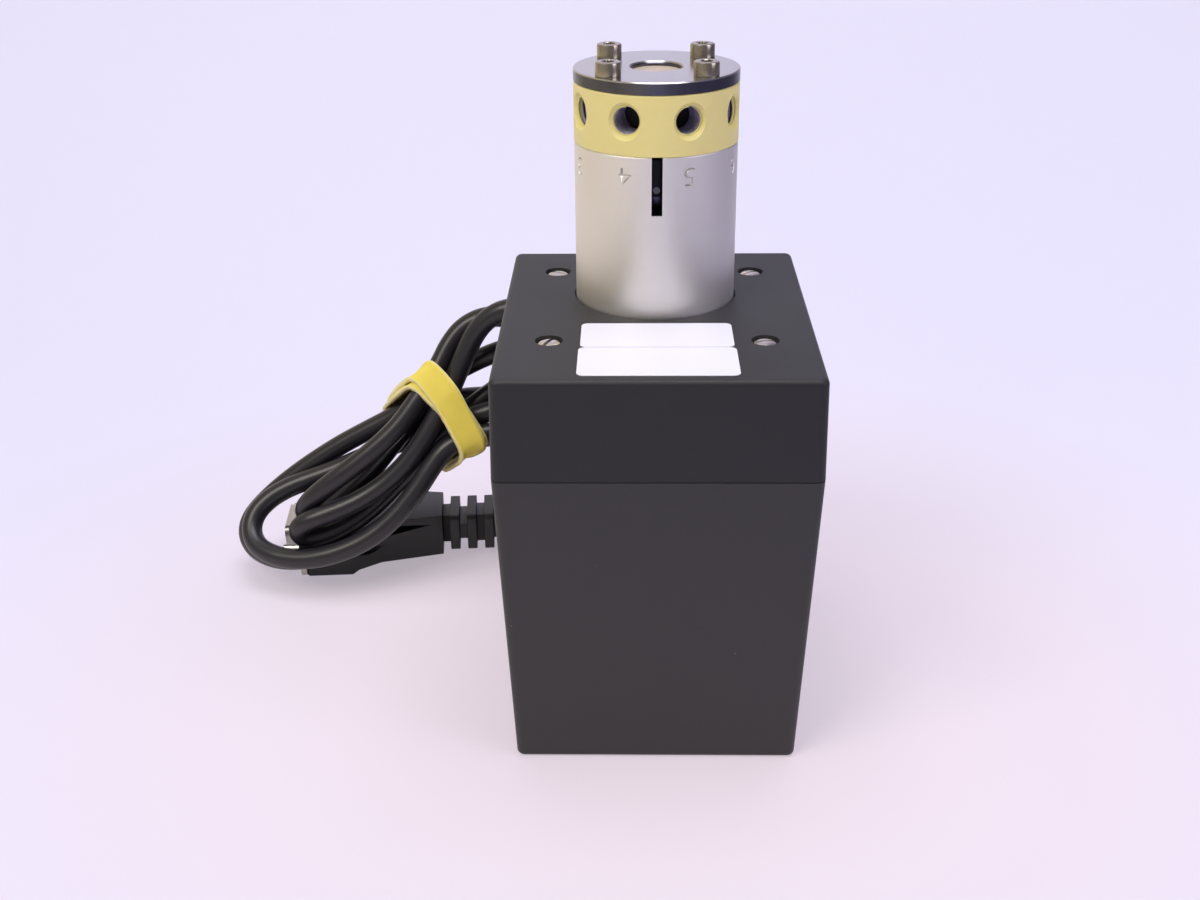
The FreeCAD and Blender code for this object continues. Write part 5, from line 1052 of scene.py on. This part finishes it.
class VALVE_OT_valve_body(bpy.types.Operator):
    """The aluminium valve body with the port numbers engraved under the ports"""
    bl_idname = "valve.valve_body"
    bl_label = "Engraved body"

    FIGURE_FOOT = BODY_TOP - 6.6 * MM
    FIGURE_WIDENED = 1.15
    FIGURE_LIFT = 0.25 * MM   # how deep the figures are cut, and how far their cutters stand out
    FIGURE_THINNED = 0.03 * MM
    CAP_SHARE = 0.7           # a figure's height as a share of its font size
    WALL_SLACK = 0.08 * MM    # facets lie up to this far inside the true wall

    def execute(self, context):
        body, cutter = builder_of(merged_copy("valve_body", "engraved_body")), builder_of(self.figures())
        carved(body, cutter)
        mesh = smoothed(plain_mesh(body, "engraved_body"), 30)
        bpy.data.objects.remove(cutter)
        self.round_wall(mesh)
        new_piece("engraved_body", mesh, anodised_aluminium(), ("valve_body",))
        return {"FINISHED"}

    def figures(self):
        """The figures as cutters bent round the body; they stand on their heads to who looks at the front."""
        height = size_of("figure_height")
        shapes = bmesh.new()
        for k in range(PORT_COUNT):
            letters = bpy.data.curves.new("figure", "FONT")
            letters.body = str(k + 1)
            letters.size = height / self.CAP_SHARE
            letters.extrude = self.FIGURE_LIFT
            letters.offset = -self.FIGURE_THINNED
            letters.align_x = "CENTER"
            mesh = plain_mesh(builder_of(letters), "figure")
            middle = PORT_FIRST + k * PORT_STEP
            for vertex in mesh.vertices:
                across, up, lift = vertex.co
                angle, reach = middle - across * self.FIGURE_WIDENED / BODY_R, BODY_R + lift
                vertex.co = (HEAD_AXIS[0] + reach * math.cos(angle), HEAD_AXIS[1] + reach * math.sin(angle),
                             self.FIGURE_FOOT + height - up)
            shapes.from_mesh(mesh)
            bpy.data.meshes.remove(mesh)
        mesh = bpy.data.meshes.new("figures")
        shapes.to_mesh(mesh)
        shapes.free()
        return faces_out(mesh)

    def round_wall(self, mesh):
        """Shades the outer wall as a true cylinder, whatever its facets are."""
        normals = [corner.vector.copy() for corner in mesh.corner_normals]
        for face in mesh.polygons:
            far = (face.center - HEAD_AXIS).to_2d()
            if far.length < BODY_R - self.WALL_SLACK or abs(face.normal.z) > 0.1:
                continue
            for corner in face.loop_indices:
                spot = mesh.vertices[mesh.loops[corner].vertex_index].co - HEAD_AXIS
                normals[corner] = Vector((spot.x, spot.y, 0)).normalized()
        mesh.normals_split_custom_set(normals)


class VALVE_OT_drive(bpy.types.Operator):
    """Finishes of the drive inside: plates, bearings, gears, shafts and motor"""
    bl_idname = "valve.drive"
    bl_label = "Drive"

    FINISHES = (
        (rolled_metal, "milled_aluminium_plates", "#C8C6C8", 0.32, 0.46,
         "upper_plate lower_plate plate_spacers"),
        (turned_metal, "hardened_bearing_steel", "steel", 0.12, 0.22,
         "bearing_outer_ring bearing_inner_ring bearing_balls"),
        (turned_metal, "oiled_bearing_steel", "#5A5B72", 0.2, 0.32,
         "thrust_race_upper thrust_race_lower thrust_rollers"),
        (turned_metal, "zinc_plated_screws", "#BDB9B2", 0.24, 0.38, "body_screws motor_screws board_screws"),
        (turned_metal, "turned_steel_shafts", "#B4B1AF", 0.2, 0.34,
         "drive_shaft motor_shaft motor_pinion gear_grub_screw"),
        (rolled_metal, "blackened_spring_steel", "#5B5856", 0.3, 0.44, "disc_springs shaft_clip"),
        (turned_metal, "sintered_bronze", "#B5824A", 0.36, 0.52, "upper_bush lower_bush bearing_cage"),
        (turned_metal, "hobbed_brass", "#CDAA5A", 0.24, 0.38, "output_gear"),
        (rolled_metal, "drawn_steel_can", "#A9A6A3", 0.26, 0.4, "motor_can motor_gearhead"),
        # the rotor carrier, seen through the slot, is painted near-black as the slot's shade; the thrust cage
        # shares it
        (turned_metal, "blackened_steel_carrier", "#2E2D33", 0.3, 0.45, "rotor_carrier thrust_cage"),
        (turned_metal, "ground_dowel_steel", "#77767F", 0.3, 0.42, "carrier_pin"),
        (moulded_plastic, "filled_ptfe_seal", "#35322F", 0.4, 0.55, "rotor_seal"),
        (moulded_plastic, "moulded_polyamide", "#242326", 0.4, 0.52,
         "motor_end_cap position_disc position_sensor board_chips"),
    )

    def execute(self, context):
        give_finishes(self.FINISHES)
        return {"FINISHED"}


class VALVE_OT_electronics(bpy.types.Operator):
    """Finishes of the circuit board and what is soldered to it"""
    bl_idname = "valve.electronics"
    bl_label = "Circuit board"

    FINISHES = (
        (moulded_plastic, "pvc_capacitor_sleeve", "#1E3E8C", 0.3, 0.4, "board_capacitors"),
        (moulded_plastic, "cream_nylon_header", "#E8DFC4", 0.45, 0.58, "board_header"),
    )

    def execute(self, context):
        give_finish(solder_mask(), "circuit_board")
        give_finishes(self.FINISHES)
        return {"FINISHED"}


class VALVE_PT_pieces(bpy.types.Panel):
    """The valve's pieces, colours and sizes"""
    bl_idname = "VALVE_PT_pieces"
    bl_label = "Injection valve"
    bl_space_type = "VIEW_3D"
    bl_region_type = "UI"
    bl_category = "Valve"

    def draw(self, context):
        for maker in OPERATORS:
            self.layout.operator(maker.bl_idname)
        for group in (context.scene.valve_colours, context.scene.valve_sizes):
            for key in group.__annotations__:
                self.layout.prop(group, key)


OPERATORS = (VALVE_OT_stage, VALVE_OT_cable, VALVE_OT_band, VALVE_OT_plug, VALVE_OT_housing,
             VALVE_OT_case_screws, VALVE_OT_head, VALVE_OT_stator_screws, VALVE_OT_port_threads,
             VALVE_OT_valve_body, VALVE_OT_drive, VALVE_OT_electronics)
CLASSES = (ValveColours, ValveSizes, *OPERATORS, VALVE_PT_pieces)


def register():
    for kind in CLASSES:
        bpy.utils.register_class(kind)
    bpy.types.Scene.valve_colours = PointerProperty(type=ValveColours)
    bpy.types.Scene.valve_sizes = PointerProperty(type=ValveSizes)


def unregister():
    del bpy.types.Scene.valve_sizes
    del bpy.types.Scene.valve_colours
    for kind in reversed(CLASSES):
        bpy.utils.unregister_class(kind)


def main():
    register()
    for maker in OPERATORS:
        group, name = maker.bl_idname.split(".")
        getattr(getattr(bpy.ops, group), name)()


if __name__ == "__main__":
    main()
